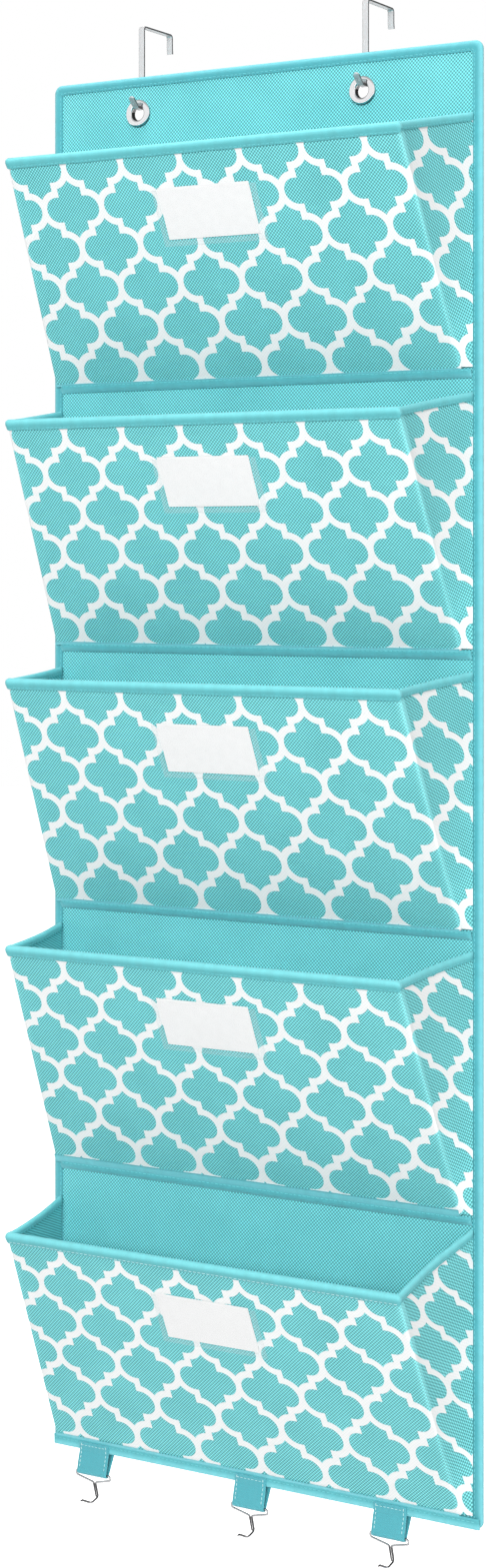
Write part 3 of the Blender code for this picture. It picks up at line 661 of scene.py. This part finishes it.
def make_floor():
    """The room's floor, two metres under the door's top edge."""
    size, height = 14.0, -2.03
    points = [(x * size, y * size, height) for x, y in ((-1, -1), (1, -1), (1, 1), (-1, 1))]
    mesh = bpy.data.meshes.new("floor")
    mesh.from_pydata(points, [], [(0, 1, 2, 3)])
    graph = Graph("floor_paint")
    clouds = graph.noise(graph.place(), 3.0)
    x, y, _ = graph.split(graph.place())
    lift = graph.ramp(graph.hypot(x, y), 1.0, 3.4, 0.30, 1.0)
    graph.set(Base_Color=graph.mix(clouds, grey(0.62), grey(0.66)), Roughness=0.8,
              Emission_Color=grey(1), Emission_Strength=seen(graph)[0] * lift)
    mesh.materials.append(graph.material)
    linked("floor", mesh)


# Cloth


def back_panel():
    right, inset = PANEL_WIDTH / 2, 0.0003
    rows = []
    for z in spread(PANEL_BOTTOM + inset, PANEL_TOP - inset, 197):
        top = z > PANEL_BOTTOM + PANEL_HEIGHT / 2
        radius = TOP_CORNER if z > PANEL_TOP - TOP_CORNER else BOTTOM_CORNER
        centre_z = PANEL_TOP - radius if top else PANEL_BOTTOM + radius
        row = []
        for x in spread(-right + inset, right - inset, 69):
            px, pz = x, z
            centre_x = copysign(right - radius, x)
            dx, dz = x - centre_x, z - centre_z
            far = hypot(dx, dz)
            if dx * x > 0 and dz * (1 if top else -1) > 0 and far > radius - inset:
                px = centre_x + dx / far * (radius - inset)
                pz = centre_z + dz / far * (radius - inset)
            edge = min(right - abs(x), PANEL_TOP - z, z - PANEL_BOTTOM)
            wave = 0.00022 * ripple(x * 14, z * 9, 1) * min(1.0, max(0.0, edge - 0.006) / 0.02)
            row.append((px, -PANEL_MIDDLE_OUT - wave, pz))
        rows.append(row)
    panel = shell("cloth_back_panel", rows, PANEL_CLOTH, ["panel"])
    holes = []
    reach, steps = BORE_RADIUS + 0.0008, 32
    for x in EYELET_XS:
        cut = bpy.data.meshes.new("hole")
        ring = [(x + reach * cos(a), y, EYELET_HEIGHT + reach * sin(a))
                for y in (-0.02, 0.02) for a in spread(0, 2 * pi, steps + 1)[:-1]]
        sides = [face[::-1] for face in grid_faces(2, steps, wrap=True)]
        ends = [tuple(range(steps)), tuple(range(2 * steps - 1, steps - 1, -1))]
        cut.from_pydata(ring, [], sides + ends)
        modifier = panel.modifiers.new("hole", "BOOLEAN")
        modifier.operation = "DIFFERENCE"
        modifier.solver = "EXACT"
        modifier.object = linked("hole", cut)
        holes.append(modifier.object)
    graph = bpy.context.evaluated_depsgraph_get()
    mesh = bpy.data.meshes.new_from_object(panel.evaluated_get(graph))
    panel.modifiers.clear()
    panel.data = mesh
    for hole in holes:
        bpy.data.objects.remove(hole, do_unlink=True)
    dress(panel, "organizer", "back_panel")


def binding_rings():
    """Plan places round the panel: inner edge, outer edge and outward direction."""
    right = PANEL_WIDTH / 2
    inset = BINDING_WIDTH + WINDOW_CORNER
    fans = []
    for x, z, start, radius in (
        (right, PANEL_BOTTOM, -90, BOTTOM_CORNER), (right, PANEL_TOP, 0, TOP_CORNER),
        (-right, PANEL_TOP, 90, TOP_CORNER), (-right, PANEL_BOTTOM, 180, BOTTOM_CORNER),
    ):
        into = np.array([-copysign(1, x), -1 if z == PANEL_TOP else 1])
        fan = []
        for angle in np.radians(np.linspace(start, start + 90, 9)):
            way = np.array([cos(angle), sin(angle)])
            inner, outer = ((x, z) + into * back + way * turn
                            for back, turn in ((inset, WINDOW_CORNER), (radius, radius)))
            fan.append((inner, outer, way))
        fans.append(fan)
    # Straight runs between the fans, in steps of about 2.5 mm
    rings = []
    for fan, following in zip(fans, fans[1:] + fans[:1]):
        rings += fan
        inner, outer, way = fan[-1]
        count = int(np.linalg.norm(following[0][1] - outer) / 0.0025)
        for step in range(1, count):
            share = step / count
            rings.append((inner * (1 - share) + following[0][0] * share,
                          outer * (1 - share) + following[0][1] * share, way))
    rings.append(rings[0])
    return rings


def panel_binding():
    # Outwards in the panel's plane, and in front of its middle, in millimetres
    profile = [(-6.0, 1.20), (-5.5, 1.28), (-5.0, 1.22), (-4.1, 1.45), (-3.0, 1.68), (-1.9, 1.76),
               (-1.0, 1.66), (-0.30, 1.38), (0.3, 0.95), (0.66, 0.45), (0.76, 0.0)]
    profile += [(n, -o) for n, o in profile[-2::-1]]
    rows, rings = [], binding_rings()
    lines, seam_out = {-1: [], 1: []}, 0.00168
    travel = 0.0
    for index, (inner, outer, way) in enumerate(rings):
        travel += np.linalg.norm(outer - rings[index - 1][1]) if index else 0.0
        swell = 0.16 * ripple(travel * 60, 0.0, 2) + 0.10 * ripple(travel * 210, 0.0, 3)
        row = []
        for n, o in profile:
            share = min(1.0, (n + 6.0) / 6.0)
            plan = inner * (1 - share) + outer * share + way * max(n, 0.0) * MM
            puff = exp(-((n + 2.4) / 1.9) ** 2) * (swell + 0.05 * pucker(travel))
            plan += way * 0.00022 * ripple(travel * 45, 1.0, 4) * max(0.0, -n - 4.8) / 1.2
            out = PANEL_MIDDLE_OUT + copysign(abs(o) + puff if o else 0.0, o) * MM
            row.append((plan[0], -out, plan[1]))
        rows.append(row[::-1])
        spot = inner * 0.80 + outer * 0.20
        for way_y, line in lines.items():
            line.append((spot[0], -PANEL_MIDDLE_OUT + way_y * seam_out, spot[1]))
    binding = shell("tape_panel_binding", rows, TAPE_THICKNESS, ["edge"], ring=True)
    dress(binding, "organizer", "panel_binding")
    seams = [dress(stitches(f"stitches_binding_{word}", lines[way_y], (0, way_y, 0)),
                   "organizer")
             for word, way_y in (("front", -1), ("rear", 1))]


def print_place(i, x, below):
    """Trellis coordinates of a place on the cloth: across, and below the lip."""
    first, last = TRELLIS_ROWS[i]
    share = (below - first) / (last - first)
    row = 5 * (share + 0.045 * share * (1 - share)) if 0 < share < 1 else 5 * share
    pitch = 0.0469 + 0.0037 * share
    return ((x - TRELLIS_X[i]) / pitch * TRELLIS_COLUMN * MM, row * TRELLIS_ROW * MM)


def gusset_print(i, side, point):
    """Trellis coordinates on a gusset: the front's print runs on over the crease, drawn in."""
    eye = Vector((side * CAMERA_PLACE[0], CAMERA_PLACE[1], CAMERA_PLACE[2]))
    out = Vector((0, -cos(lean(i)), -sin(lean(i))))
    foot = Vector((0, -HINGE_OUT, seam(i)))
    way = point - eye
    place = eye + way * ((foot - eye).dot(out) / way.dot(out))
    slope = (place - foot).dot(Vector((0, -sin(lean(i)), cos(lean(i)))))
    share = slope / length(i)
    crease = middle(share) + side * (half_width(share) + FRONT_TURN)
    return print_place(i, crease + (place.x - crease) / GUSSET_PRINT_WIDTH, length(i) - slope)


def crease_highlight(i, side, slope, off):
    """How strong the painted highlight is along the crease: stronger towards the top, varying at
    random, and fading away from the crease.
    """
    share = slope / length(i)
    highlight_streak = 0.5 + 0.5 * ripple(slope * 26, side * 2.0, 80 + i)
    return min(1.0, (0.35 + 0.65 * share) * (0.4 + highlight_streak)) * exp(-(off / 0.0017) ** 2)


def pocket_front(i):
    """The printed cloth: flat over the board, then turned back round both side edges."""
    long = length(i)
    turn, pucker_pitch, cut_margin = FRONT_TURN_RADIUS, 0.0105, 0.0047
    table = []
    for slope in spread(0.0002, long - 0.0002, 56):
        share = slope / long
        back = FRONT_TURN_BACK * min(1.0, 0.25 + slope / 0.045)
        half = half_width(share) + FRONT_TURN
        flat = half - turn
        arcs = [(flat + turn * sin(a), -turn * (1 - cos(a)), flat + turn * a)
                for a in spread(0, pi / 2, 6)[1:]]
        arcs += [(half, -turn - back * extra, flat + turn * pi / 2 + back * extra)
                 for extra in (0.4, 1.0)]
        places = [(-x, face, -s) for x, face, s in arcs[::-1]]
        places += [(x, 0.0, x) for x in spread(-flat, flat, 97)] + arcs
        edge = max(0.0, min(slope, long - 0.006 - slope))
        row = []
        for x, face, s in places:
            wave = sin(s * 2 * pi / pucker_pitch + 2 * ripple(s * 30, 0.0, i))
            soft = 0.00010 * wave * exp(-edge / 0.006)
            soft += 0.00016 * ripple(s * 16, slope * 20, 5 + i)
            point = front_point(i, x + middle(share), face + soft * (abs(x) < flat), slope)
            side = copysign(1, x)
            if abs(x) > flat + 0.0001:
                spot = gusset_print(i, side, Vector(point))
            else:
                spot = print_place(i, s + middle(share), long - slope)
            # Strength of the painted highlight along the crease.
            highlight_streak = crease_highlight(i, side, slope, max(0.0, half - abs(x)))
            row.append((point, (s, slope), (*spot, highlight_streak)))
        table.append(row)
    rows, cloth, prints = unzip(table)
    front = shell(f"cloth_pocket_front_{i + 1}", rows, FRONT_CLOTH, ["print", "lining"], cloth,
                  prints)
    dress(front, f"pocket_{i + 1}", f"pocket_front_{i + 1}")
    wide, narrow = (2 * (half_width(share) + cut_margin) for share in (0, 1))
    (wide + narrow) / 2 * long * 0.999
    hem_foot(i)


def pocket_lining(i):
    long = length(i)
    inset, deep = 0.0015, 0.00245
    rows = []
    for slope in spread(0.0042, long - 0.0004, 40):
        share = slope / long
        half = half_width(share) - inset
        row = []
        for b in spread(-1, 1, 62):
            soft = 0.00020 * ripple(b * 3, slope * 25, 21 + i)
            row.append(front_point(i, b * half + middle(share), -deep - abs(soft), slope))
        rows.append(row[::-1])
    lining = shell(f"cloth_pocket_lining_{i + 1}", rows, LINING_CLOTH, ["lining"])
    dress(lining, f"pocket_{i + 1}", f"pocket_lining_{i + 1}")
    wide, narrow = (2 * (half_width(share) - inset) for share in (0, 1))
    (wide + narrow) / 2 * (long - 0.0045)


# Outwards from the cloth, and up the slope from the lip, in millimetres
LIP_PROFILE = [
    (0.92, -5.8), (1.00, -5.3), (0.92, -4.7), (1.16, -3.6), (1.36, -2.4), (1.34, -1.2),
    (1.02, -0.1), (0.30, 0.58), (-0.60, 0.80), (-1.50, 0.80), (-2.40, 0.58), (-3.08, -0.1),
    (-3.38, -1.2), (-3.40, -2.4), (-3.22, -3.6), (-3.02, -4.7), (-3.08, -5.3), (-3.02, -5.8),
]
LIP_CENTRE = (-1.0, -2.5)


def lip_binding(i):
    long = length(i)
    half = half_width(1) + 0.0011
    ends = ((half + 0.0004, 0.85), (half + 0.0010, 0.55), (half + 0.0012, 0.10))
    places = [(-x, size) for x, size in ends[::-1]]
    places += [(x, 1.0) for x in spread(-half + 0.0006, half - 0.0006, 170)]
    places += ends
    seam_below, seam_front, seam_rear = 0.0046, 0.00138, -0.00346
    rows, front, rear = [], [], []
    for x, size in places:
        swell = 0.14 * ripple(x * 55, i * 3.0, 31) + 0.08 * ripple(x * 190, i * 3.0, 32)
        row = []
        for face, slope in LIP_PROFILE:
            puff = exp(-((slope + 2.2) / 2.2) ** 2) * (swell + 0.05 * pucker(x))
            hem = 0.18 * ripple(x * 50, i + 9.0, 33) * max(0.0, -slope - 4.4)
            f = LIP_CENTRE[0] + (face + copysign(puff, face + 1.0) - LIP_CENTRE[0]) * size
            s = LIP_CENTRE[1] + (slope + hem - LIP_CENTRE[1]) * size
            row.append(front_point(i, x + middle(1), f * MM, long + s * MM))
        rows.append(row)
        if size == 1.0:
            front.append(front_point(i, x + middle(1), seam_front, long - seam_below))
            rear.append(front_point(i, x + middle(1), seam_rear, long - seam_below))
    lip = shell(f"tape_lip_{i + 1}", rows[::-1], TAPE_THICKNESS, ["tape"])
    dress(lip, f"pocket_{i + 1}", f"lip_binding_{i + 1}")
    out = Vector((0, -cos(lean(i)), -sin(lean(i))))
    key = "light_thread" if i == COUNT - 1 else "thread"
    seams = [dress(stitches(f"stitches_lip_{word}_{i + 1}", line, way, key),
                   f"pocket_{i + 1}")
             for word, line, way in (("front", front, out), ("rear", rear, -out))]
    2 * half


def gusset_point(i, side, up, reach):
    """A place on a gusset: its share up from the foot, and back from the crease."""
    edge = half_width(up) + 0.0005
    front = Vector(front_point(i, middle(up) + side * edge, -0.0009, up * length(i)))
    height = seam(i) + up * (back_lip(i) - seam(i) + GUSSET_REARS[side][i])
    back = Vector((side * GUSSET_BACK_X, -GUSSET_BACK_OUT, height))
    point = front.lerp(back, reach)
    bow = GUSSET_BOW * up * 4 * reach * (1 - reach)
    soft = 0.0009 * ripple(reach * 2.2 + 5, up * 3.4, 40 + i + side) * up
    point.x -= side * (bow + soft * min(1, 6 * reach * (1 - reach)))
    return point


def squash_gusset(piece, i, node=None):
    """Puts a piece on the organizer's body, in place of a node of the frame where one is given,
    with a mesh of its own.
    """
    rest = HINGE_OUT + length(i) * sin(lean(i)) - GUSSET_BACK_OUT
    shut = HINGE_OUT + rise(i) * tan(lean(i) - CLOSE_TURN) - 0.0005 - GUSSET_BACK_OUT
    dress(piece, "organizer", node)
    shut / rest
    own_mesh(piece)
    return piece


def gusset(i, side):
    word = "left" if side < 0 else "right"
    foot = gusset_point(i, side, 0.0, 0.0)
    crease = (gusset_point(i, side, 1.0, 0.0) - foot).normalized()
    table = []
    for up in spread(0.0015 / (back_lip(i) - seam(i)), 1.0, 44):
        row = []
        for reach in [share ** 1.35 for share in spread(0.0, 1.0, 26)]:
            point = gusset_point(i, side, up, reach)
            along = (point - foot).dot(crease)
            off = (point - foot - crease * along).length
            # Strength of the painted highlight along the crease.
            highlight_streak = crease_highlight(i, side, along, off)
            row.append((tuple(point), (side * (half_width(up) + 0.0012 + off), along),
                        (*gusset_print(i, side, point), highlight_streak)))
        table.append(row[::side])
    rows, cloth, prints = unzip(table)
    piece = shell(f"cloth_gusset_{word}_{i + 1}", rows, GUSSET_CLOTH, ["print", "lining"], cloth,
                  prints)
    squash_gusset(piece, i, f"gusset_{word}_{i + 1}")
    width = (gusset_point(i, side, 1.0, 0.0) - gusset_point(i, side, 1.0, 1.0)).length
    sheet_area(rows)
    gusset_band(i, side, word)


def gusset_band(i, side, word):
    """The tape folded over a gusset's top edge."""
    profile = [(1.10, -4.6), (1.20, -4.2), (1.12, -3.7), (1.30, -2.8), (1.38, -1.8), (1.28, -0.7),
               (0.90, 0.1), (0.35, 0.5), (0.0, 0.58)]
    profile += [(-n, s) for n, s in profile[-2::-1]]
    height = back_lip(i) - seam(i)
    seam_off, seam_below = 0.00155, 0.0035
    rows = []
    lines = {"outer": [], "inner": []}
    reaches = spread(0.0, 0.992, 44)
    for step, reach in enumerate(reaches):
        top = gusset_point(i, side, 1.0, reach)
        ahead = gusset_point(i, side, 1.0, min(1.0, reach + 0.01))
        behind = gusset_point(i, side, 1.0, max(0.0, reach - 0.01))
        up = (top - gusset_point(i, side, 1.0 - 0.004 / height, reach)).normalized()
        off = (ahead - behind).normalized().cross(up).normalized()
        if off.x * side < 0:
            off = -off
        swell = 1 + 0.10 * ripple(reach * 5, i * 2.0 + side, 51)
        ends = min(1.0, 0.35 + (len(reaches) - 1 - step) * 0.65)
        row = [tuple(top + off * n * swell * ends * MM + up * s * MM) for n, s in profile]
        rows.append(row[::side])
        for face, line in zip((1, -1), lines.values()):
            line.append(tuple(top + off * face * seam_off * swell - up * seam_below))
    band = shell(f"tape_gusset_{word}_{i + 1}", rows, TAPE_THICKNESS, ["tape"])
    squash_gusset(band, i)
    seams = [squash_gusset(stitches(f"stitches_gusset_{word}_{name}_{i + 1}", line[2:-2],
                                    (turn, 0, 0)), i)
             for (name, line), turn in zip(lines.items(), (side, -side))]


def hem_foot(i):
    """The tape's upper ply, over the foot of the printed cloth."""
    cover = HEM_COVERS[i]
    half = half_width(0) + 0.0006
    plies = ((0.74, 0.0), (0.82, 0.0004), (0.58, 0.0009), (0.78, 0.0014))
    profile = [(face, max(cover - drop, 0.0)) for face, drop in plies if cover - drop > -0.0005]
    profile.append((0.80, -0.0006))
    rows = []
    for x in spread(-half, half, 170):
        swell = 0.10 * ripple(x * 50, i * 4.0, 65) + 0.05 * pucker(x)
        row = []
        for index, (face, slope) in enumerate(profile):
            edge = 0.00015 * ripple(x * 60, i * 3.0, 66) if index == 0 else 0.0
            face += swell * (index > 0)
            row.append(front_point(i, x + middle(0), face * MM, slope + edge))
        rows.append(row)
    foot = shell(f"tape_hem_foot_{i + 1}", rows[::-1], HEM_THICKNESS, ["edge"], metres(rows))
    return dress(foot, f"pocket_{i + 1}")


# Out from the door and up from the seam, in millimetres: each hem roll, and the lowest
HEM_PROFILE = [(8.30, 0.3), (8.62, -0.3), (8.72, -1.3), (8.58, -2.4), (8.15, -3.4), (7.50, -4.3),
               (6.55, -5.0), (5.80, -5.5), (5.46, -5.3), (5.50, -4.3), (6.10, -3.4), (6.70, -2.4),
               (6.75, -1.5)]
LAST_HEM_PROFILE = [(8.30, 0.3), (8.62, -0.3), (8.55, -1.2), (8.25, -2.0), (8.35, -3.2),
                    (8.38, -4.6), (8.16, -6.0), (7.75, -6.85), (7.15, -6.95), (6.85, -6.2),
                    (6.80, -4.4), (6.80, -2.6)]
HEM_CENTRE_OUT = 7.1


def seam_hem(i):
    last = i == COUNT - 1
    profile = LAST_HEM_PROFILE if last else HEM_PROFILE
    half = PANEL_WIDTH / 2 - 0.0004 - (0.0 if last else BINDING_WIDTH)
    stitch_out, stitch_drop = (0.00858, 0.0020) if last else (0.00902, 0.0009)
    rows, line = [], []
    for x in spread(-half, half, 190):
        swell = 0.12 * ripple(x * 50, i * 4.0, 61) + 0.08 * ripple(x * 170, i * 4.0, 62)
        ends = min(1.0, (half - abs(x)) / 0.0012 + 0.4)
        row = []
        for index, (out, z) in enumerate(profile):
            puff = sin(pi * index / (len(profile) - 1)) * (swell + 0.06 * pucker(x))
            out = HEM_CENTRE_OUT + (out + puff - HEM_CENTRE_OUT) * ends
            row.append((x, -out * MM, seam(i) + z * MM))
        rows.append(row)
        line.append((x, -stitch_out, seam(i) - stitch_drop))
    hem = shell(f"tape_hem_{i + 1}", rows[::-1], HEM_THICKNESS, ["hem"], metres(rows))
    dress(hem, "organizer", f"seam_hem_{i + 1}")
    row_stitches = dress(stitches(f"stitches_hem_{i + 1}", line, (0, -1, 0)),
                         "organizer")


def label(i):
    """The blank card, a little bowed, in a clear sleeve welded on three sides."""
    top = length(i) - CARD_BELOW_LIP
    low = top - CARD_HEIGHT
    right = CARD_WIDTH / 2
    rows = []
    for slope in spread(low, top, 16):
        bend = 0.00012 * cos((slope - (low + top) / 2) / CARD_HEIGHT * pi)
        rows.append([front_point(i, LABEL_X + x,
                                 0.00080 + bend * cos(x / CARD_WIDTH * pi), slope)
                     for x in spread(-right, right, 28)])
    card = shell(f"label_blank_card_{i + 1}", rows, CARD_THICKNESS, ["card"])
    dress(card, f"card_{i + 1}", f"label_card_{i + 1}")

    def film_point(x, slope):
        inside = min(right - abs(x), slope - low)
        lift = min(1.0, max(0.0, (inside + 0.0016) / 0.0014))
        lift = lift * lift * (3 - 2 * lift)
        weld = 0.00016 * exp(-((inside + SLEEVE_MARGIN - 0.0022) / 0.0005) ** 2)
        return front_point(i, LABEL_X + x, 0.00052 + 0.00072 * lift + weld, slope)

    rows = [[film_point(x, slope)
             for x in spread(-right - SLEEVE_MARGIN, right + SLEEVE_MARGIN, 70)]
            for slope in spread(low - SLEEVE_MARGIN, top - 0.0015, 40)]
    sleeve = shell(f"label_film_{i + 1}", rows, FILM_THICKNESS, ["film"])
    dress(sleeve, f"pocket_{i + 1}", f"label_sleeve_{i + 1}")


# Loops, wires and metal


def arc_points(centre, radius, start, end, steps):
    return [(centre[0] + radius * cos(a), centre[1] + radius * sin(a))
            for a in np.radians(np.linspace(start, end, steps + 1))]


def touch_angle(centre, point, radius, side):
    """Where a line from a point touches a circle, in degrees."""
    gap = Vector(point) - Vector(centre)
    return degrees(atan2(gap.y, gap.x) + side * acos(radius / gap.length))


def around(route, index):
    """A route's direction at a place, and its left normal."""
    before, after = route[max(index - 1, 0)], route[min(index + 1, len(route) - 1)]
    way = (Vector(after) - Vector(before)).normalized()
    return way, Vector((way.y, -way.x))


def strap(side, x):
    front = LAST_HEM_OUT + CLEAR + STRAP_THICKNESS / 2
    rear = BINDING_REAR_OUT - CLEAR - STRAP_THICKNESS / 2
    knee = PANEL_BOTTOM - BINDING_FOLD - CLEAR
    top = PANEL_BOTTOM + 0.0050
    centre = (BAR_OUT, BAR_HEIGHT)
    radius = WIRE_RADIUS + CLEAR + STRAP_THICKNESS / 2
    fold = arc_points(centre, radius, touch_angle(centre, (front, knee), radius, -1),
                      touch_angle(centre, (rear, knee), radius, 1) - 360, 18)
    corners = [(front, top), (front, top - 0.0015), (front, knee)]
    corners += fold + [(rear, knee), (rear, top)]
    route = [corners[0]]
    for a, b in zip(corners, corners[1:]):
        count = max(1, int(dist(a, b) / 0.0012))
        route += [(a[0] + (b[0] - a[0]) * k / count, a[1] + (b[1] - a[1]) * k / count)
                  for k in range(1, count + 1)]
    rows, thick = [], []
    lines = {"right": [], "left": []}
    for index, (out, z) in enumerate(route):
        off = -around(route, index)[1]
        half = STRAP_WIDTH / 2 * (1 - 0.02 * exp(-abs(z - knee) / 0.002))
        row, row_thick = [], []
        for b in spread(-1, 1, 21):
            lift = 0.00010 * ripple(b * 3, z * 260, 71 + x * 40)
            row.append((x + b * half, -(out + off.x * lift), z + off.y * lift))
            row_thick.append(STRAP_THICKNESS * (1 - 0.45 * max(0.0, abs(b) - 0.9) / 0.1))
        rows.append(row)
        thick.append(row_thick)
        if z > BAR_HEIGHT + 0.001 and index < len(route) // 2:
            for end, line in zip((1, -1), lines.values()):
                line.append((x + end * (STRAP_WIDTH / 2 - 0.0021), -out - 0.00064, z))
    piece = shell(f"webbing_loop_{side}", rows[::-1], thick[::-1], ["webbing"])
    dress(piece, "organizer", f"strap_loop_{side}")
    lines["top"] = [(x + b, -front - 0.00066, top - 0.0022) for b in spread(-0.0115, 0.0115, 12)]
    seams = [dress(stitches(f"stitches_loop_{side}_{word}", line, (0, -1, 0), "light_thread",
                            0.0021, 0.0008, 0.00022 if word == "top" else 0.00030),
                   "organizer")
             for word, line in lines.items()]


def rounded_route(corners, radii, step_deg):
    """A line through corners, each but the ends rounded with its radius."""
    route = [Vector(corners[0])]
    for before, corner, after, radius in zip(corners, corners[1:], corners[2:], radii):
        into = (Vector(corner) - Vector(before)).normalized()
        away = (Vector(after) - Vector(corner)).normalized()
        turn = into.angle(away)
        side = (away - into * into.dot(away)).normalized()
        centre = Vector(corner) - into * radius * tan(turn / 2) + side * radius
        steps = max(2, ceil(degrees(turn) / step_deg))
        for step in range(steps + 1):
            angle = turn * step / steps
            route.append(centre + (into * sin(angle) - side * cos(angle)) * radius)
    route.append(Vector(corners[-1]))
    return route


def wire_route(step_deg):
    """The bent wire round its bar: the end of one strand, up, over the bow, down, and the crook."""
    strand = WIRE_RADIUS + CLEAR / 2
    bow = STRAP_WIDTH / 2 + 0.0012 + WIRE_RADIUS
    foot = -BOW_DROP - 0.012
    corners = (
        (-strand, 0, foot), (-strand, 0, -BOW_DROP), (-bow, 0, -BOW_DROP / 2), (-bow, 0, 0),
        (bow, 0, 0), (bow, 0, -BOW_DROP / 2), (strand, 0, -BOW_DROP), (strand, 0, foot),
        (strand, -0.0086, foot + 0.0007), (strand, -0.0180, foot + 0.0092),
        (strand, -0.0202, foot + 0.0101),
    )
    return rounded_route(corners, [0.0015] * 6 + [0.0020, 0.0070, 0.0014], step_deg)


def wire_hook(side, x):
    """The wire hangs tilted on its bar, with its weight under the bar."""
    coarse = wire_route(24)
    moment_out, moment_down = (
        sum(-(b - a).length * (a[axis] + b[axis]) for a, b in zip(coarse, coarse[1:]))
        for axis in (1, 2)
    )
    tilt = atan2(moment_out, moment_down)
    place = Matrix.Translation((x, -BAR_OUT, BAR_HEIGHT)) @ Matrix.Rotation(tilt, 4, "X")
    curve = bpy.data.curves.new(f"bent_wire_{side}", "CURVE")
    curve.dimensions = "3D"
    curve.bevel_depth = WIRE_RADIUS
    curve.bevel_resolution = 4
    curve.use_fill_caps = True
    route = wire_route(9)
    spline = curve.splines.new("POLY")
    spline.points.add(len(route) - 1)
    for index, (point, spot) in enumerate(zip(spline.points, route)):
        point.co = (*(place @ spot), 1.0)
        point.radius = 0.7 if index in (0, len(route) - 1) else 1.0
    spline.use_smooth = True
    curve.materials.append(MATERIALS["wire"])
    wire = linked(f"bent_wire_{side}", curve)
    dress(wire, f"wire_hook_{side}", f"wire_hook_{side}")


def door_hook(side, x):
    """Flat strip with softly rounded edges, over the door and out through the eyelet."""
    wide, thick = STRIP_WIDTH, STRIP_THICKNESS
    front = thick / 2
    rear = -DOOR_GAP - thick / 2
    tip = thick - 0.014
    seat = EYELET_HEIGHT + sqrt(BORE_RADIUS ** 2 - (wide / 2) ** 2) - CLEAR - thick / 2
    seat_end = FLANGE_REAR_OUT + DOME_HEIGHT + CLEAR
    corners = ((rear - 0.0005, tip), (rear, tip + 0.004), (rear, front), (front, front),
               (front, seat), (seat_end, seat), (seat_end + 0.0060, seat + 0.0054))
    route = rounded_route(corners, (0.010, 0.0022, 0.0022, 0.0010, 0.0020), 8)
    widths = [1.0] * len(route)
    end = route[-1]
    along = (end - route[-2]).normalized()
    for share in (0.3, 0.55, 0.75, 0.9, 0.98):
        route.append(end + along * share * wide / 2)
        widths.append(sqrt(1 - share * share))
    edge = 0.00016
    section = [(cx, cy, edge * cos(angle), edge * sin(angle))
               for cx, cy, start in ((1, 1, 0), (-1, 1, 90), (-1, -1, 180), (1, -1, 270))
               for angle in np.radians(np.linspace(start, start + 90, 4))]
    count = len(section)
    points, cloth = [], []
    for index, spot in enumerate(route):
        off = around(route, index)[1]
        for cx, cy, ex, ey in section:
            across = cx * max(wide / 2 * widths[index] - edge, 0.00005) + ex
            lift = cy * (thick / 2 - edge) + ey
            points.append((x + across, -(spot.x + off.x * lift), spot.y + off.y * lift))
            # The first coordinate, across, places the painted shade on the strip's side faces.
            cloth.append((across, index * 0.001))
    faces = grid_faces(len(route), count, wrap=True)
    faces.append(tuple(range(count - 1, -1, -1)))
    faces.append(tuple(range(len(points) - count, len(points))))
    hook = finish_mesh(f"strip_hook_{side}", points, faces, cloth, ["strip"], 40)
    dress(hook, "door_hooks", f"door_hook_{side}")


def eyelet(side, x):
    """Barrel, domed flange and rolled rear end, turned in fine steps."""
    profile = []
    for angle in spread(pi, 0, 17):
        radius = BORE_RADIUS + FLANGE_WIDTH / 2 * (1 + cos(angle))
        profile.append((radius, FLANGE_REAR_OUT + DOME_HEIGHT * abs(sin(angle)) ** 0.8))
    barrel = BORE_RADIUS + BARREL_WALL
    profile += [(barrel + 0.0004, FLANGE_REAR_OUT), (barrel, FLANGE_REAR_OUT - 0.0004),
                (barrel, 0.0022)]
    profile += arc_points((barrel + 0.00105, 0.00185), 0.00035, 90, -90, 8)
    profile += arc_points((barrel, 0.0021), BARREL_WALL, 270, 180, 6)
    steps = 72
    points, cloth = [], []
    for step in range(steps):
        angle = 2 * pi * step / steps
        for radius, out in profile:
            points.append((x + radius * cos(angle), -out, EYELET_HEIGHT + radius * sin(angle)))
            # The second coordinate shifts with the angle, so the painted shade and dark reflection
            # lie wider on the ring's lower side.
            cloth.append((step * 0.0005, out + 0.0006 * sin(angle)))
    faces = [tuple(v % len(points) for v in face)
             for face in grid_faces(steps + 1, len(profile), wrap=True)]
    ring = finish_mesh(f"turned_eyelet_{side}", points, faces, cloth, ["eyelet"], 60)
    dress(ring, "organizer", f"eyelet_{side}")


def paint_node(node, key):
    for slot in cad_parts[node].material_slots:
        slot.material = MATERIALS[key]


make_camera()
make_light()
make_floor()
back_panel()
panel_binding()
for i in range(COUNT):
    pocket_front(i)
    pocket_lining(i)
    lip_binding(i)
    for side in (-1, 1):
        gusset(i, side)
    seam_hem(i)
    label(i)
    paint_node(f"pocket_board_{i + 1}", "board")
for side, x in zip(SIDES, STRAP_XS):
    strap(side, x)
    wire_hook(side, x)
for side, x in zip(("left", "right"), EYELET_XS):
    door_hook(side, x)
    eyelet(side, x)
    paint_node(f"eyelet_washer_{side}", "strip")
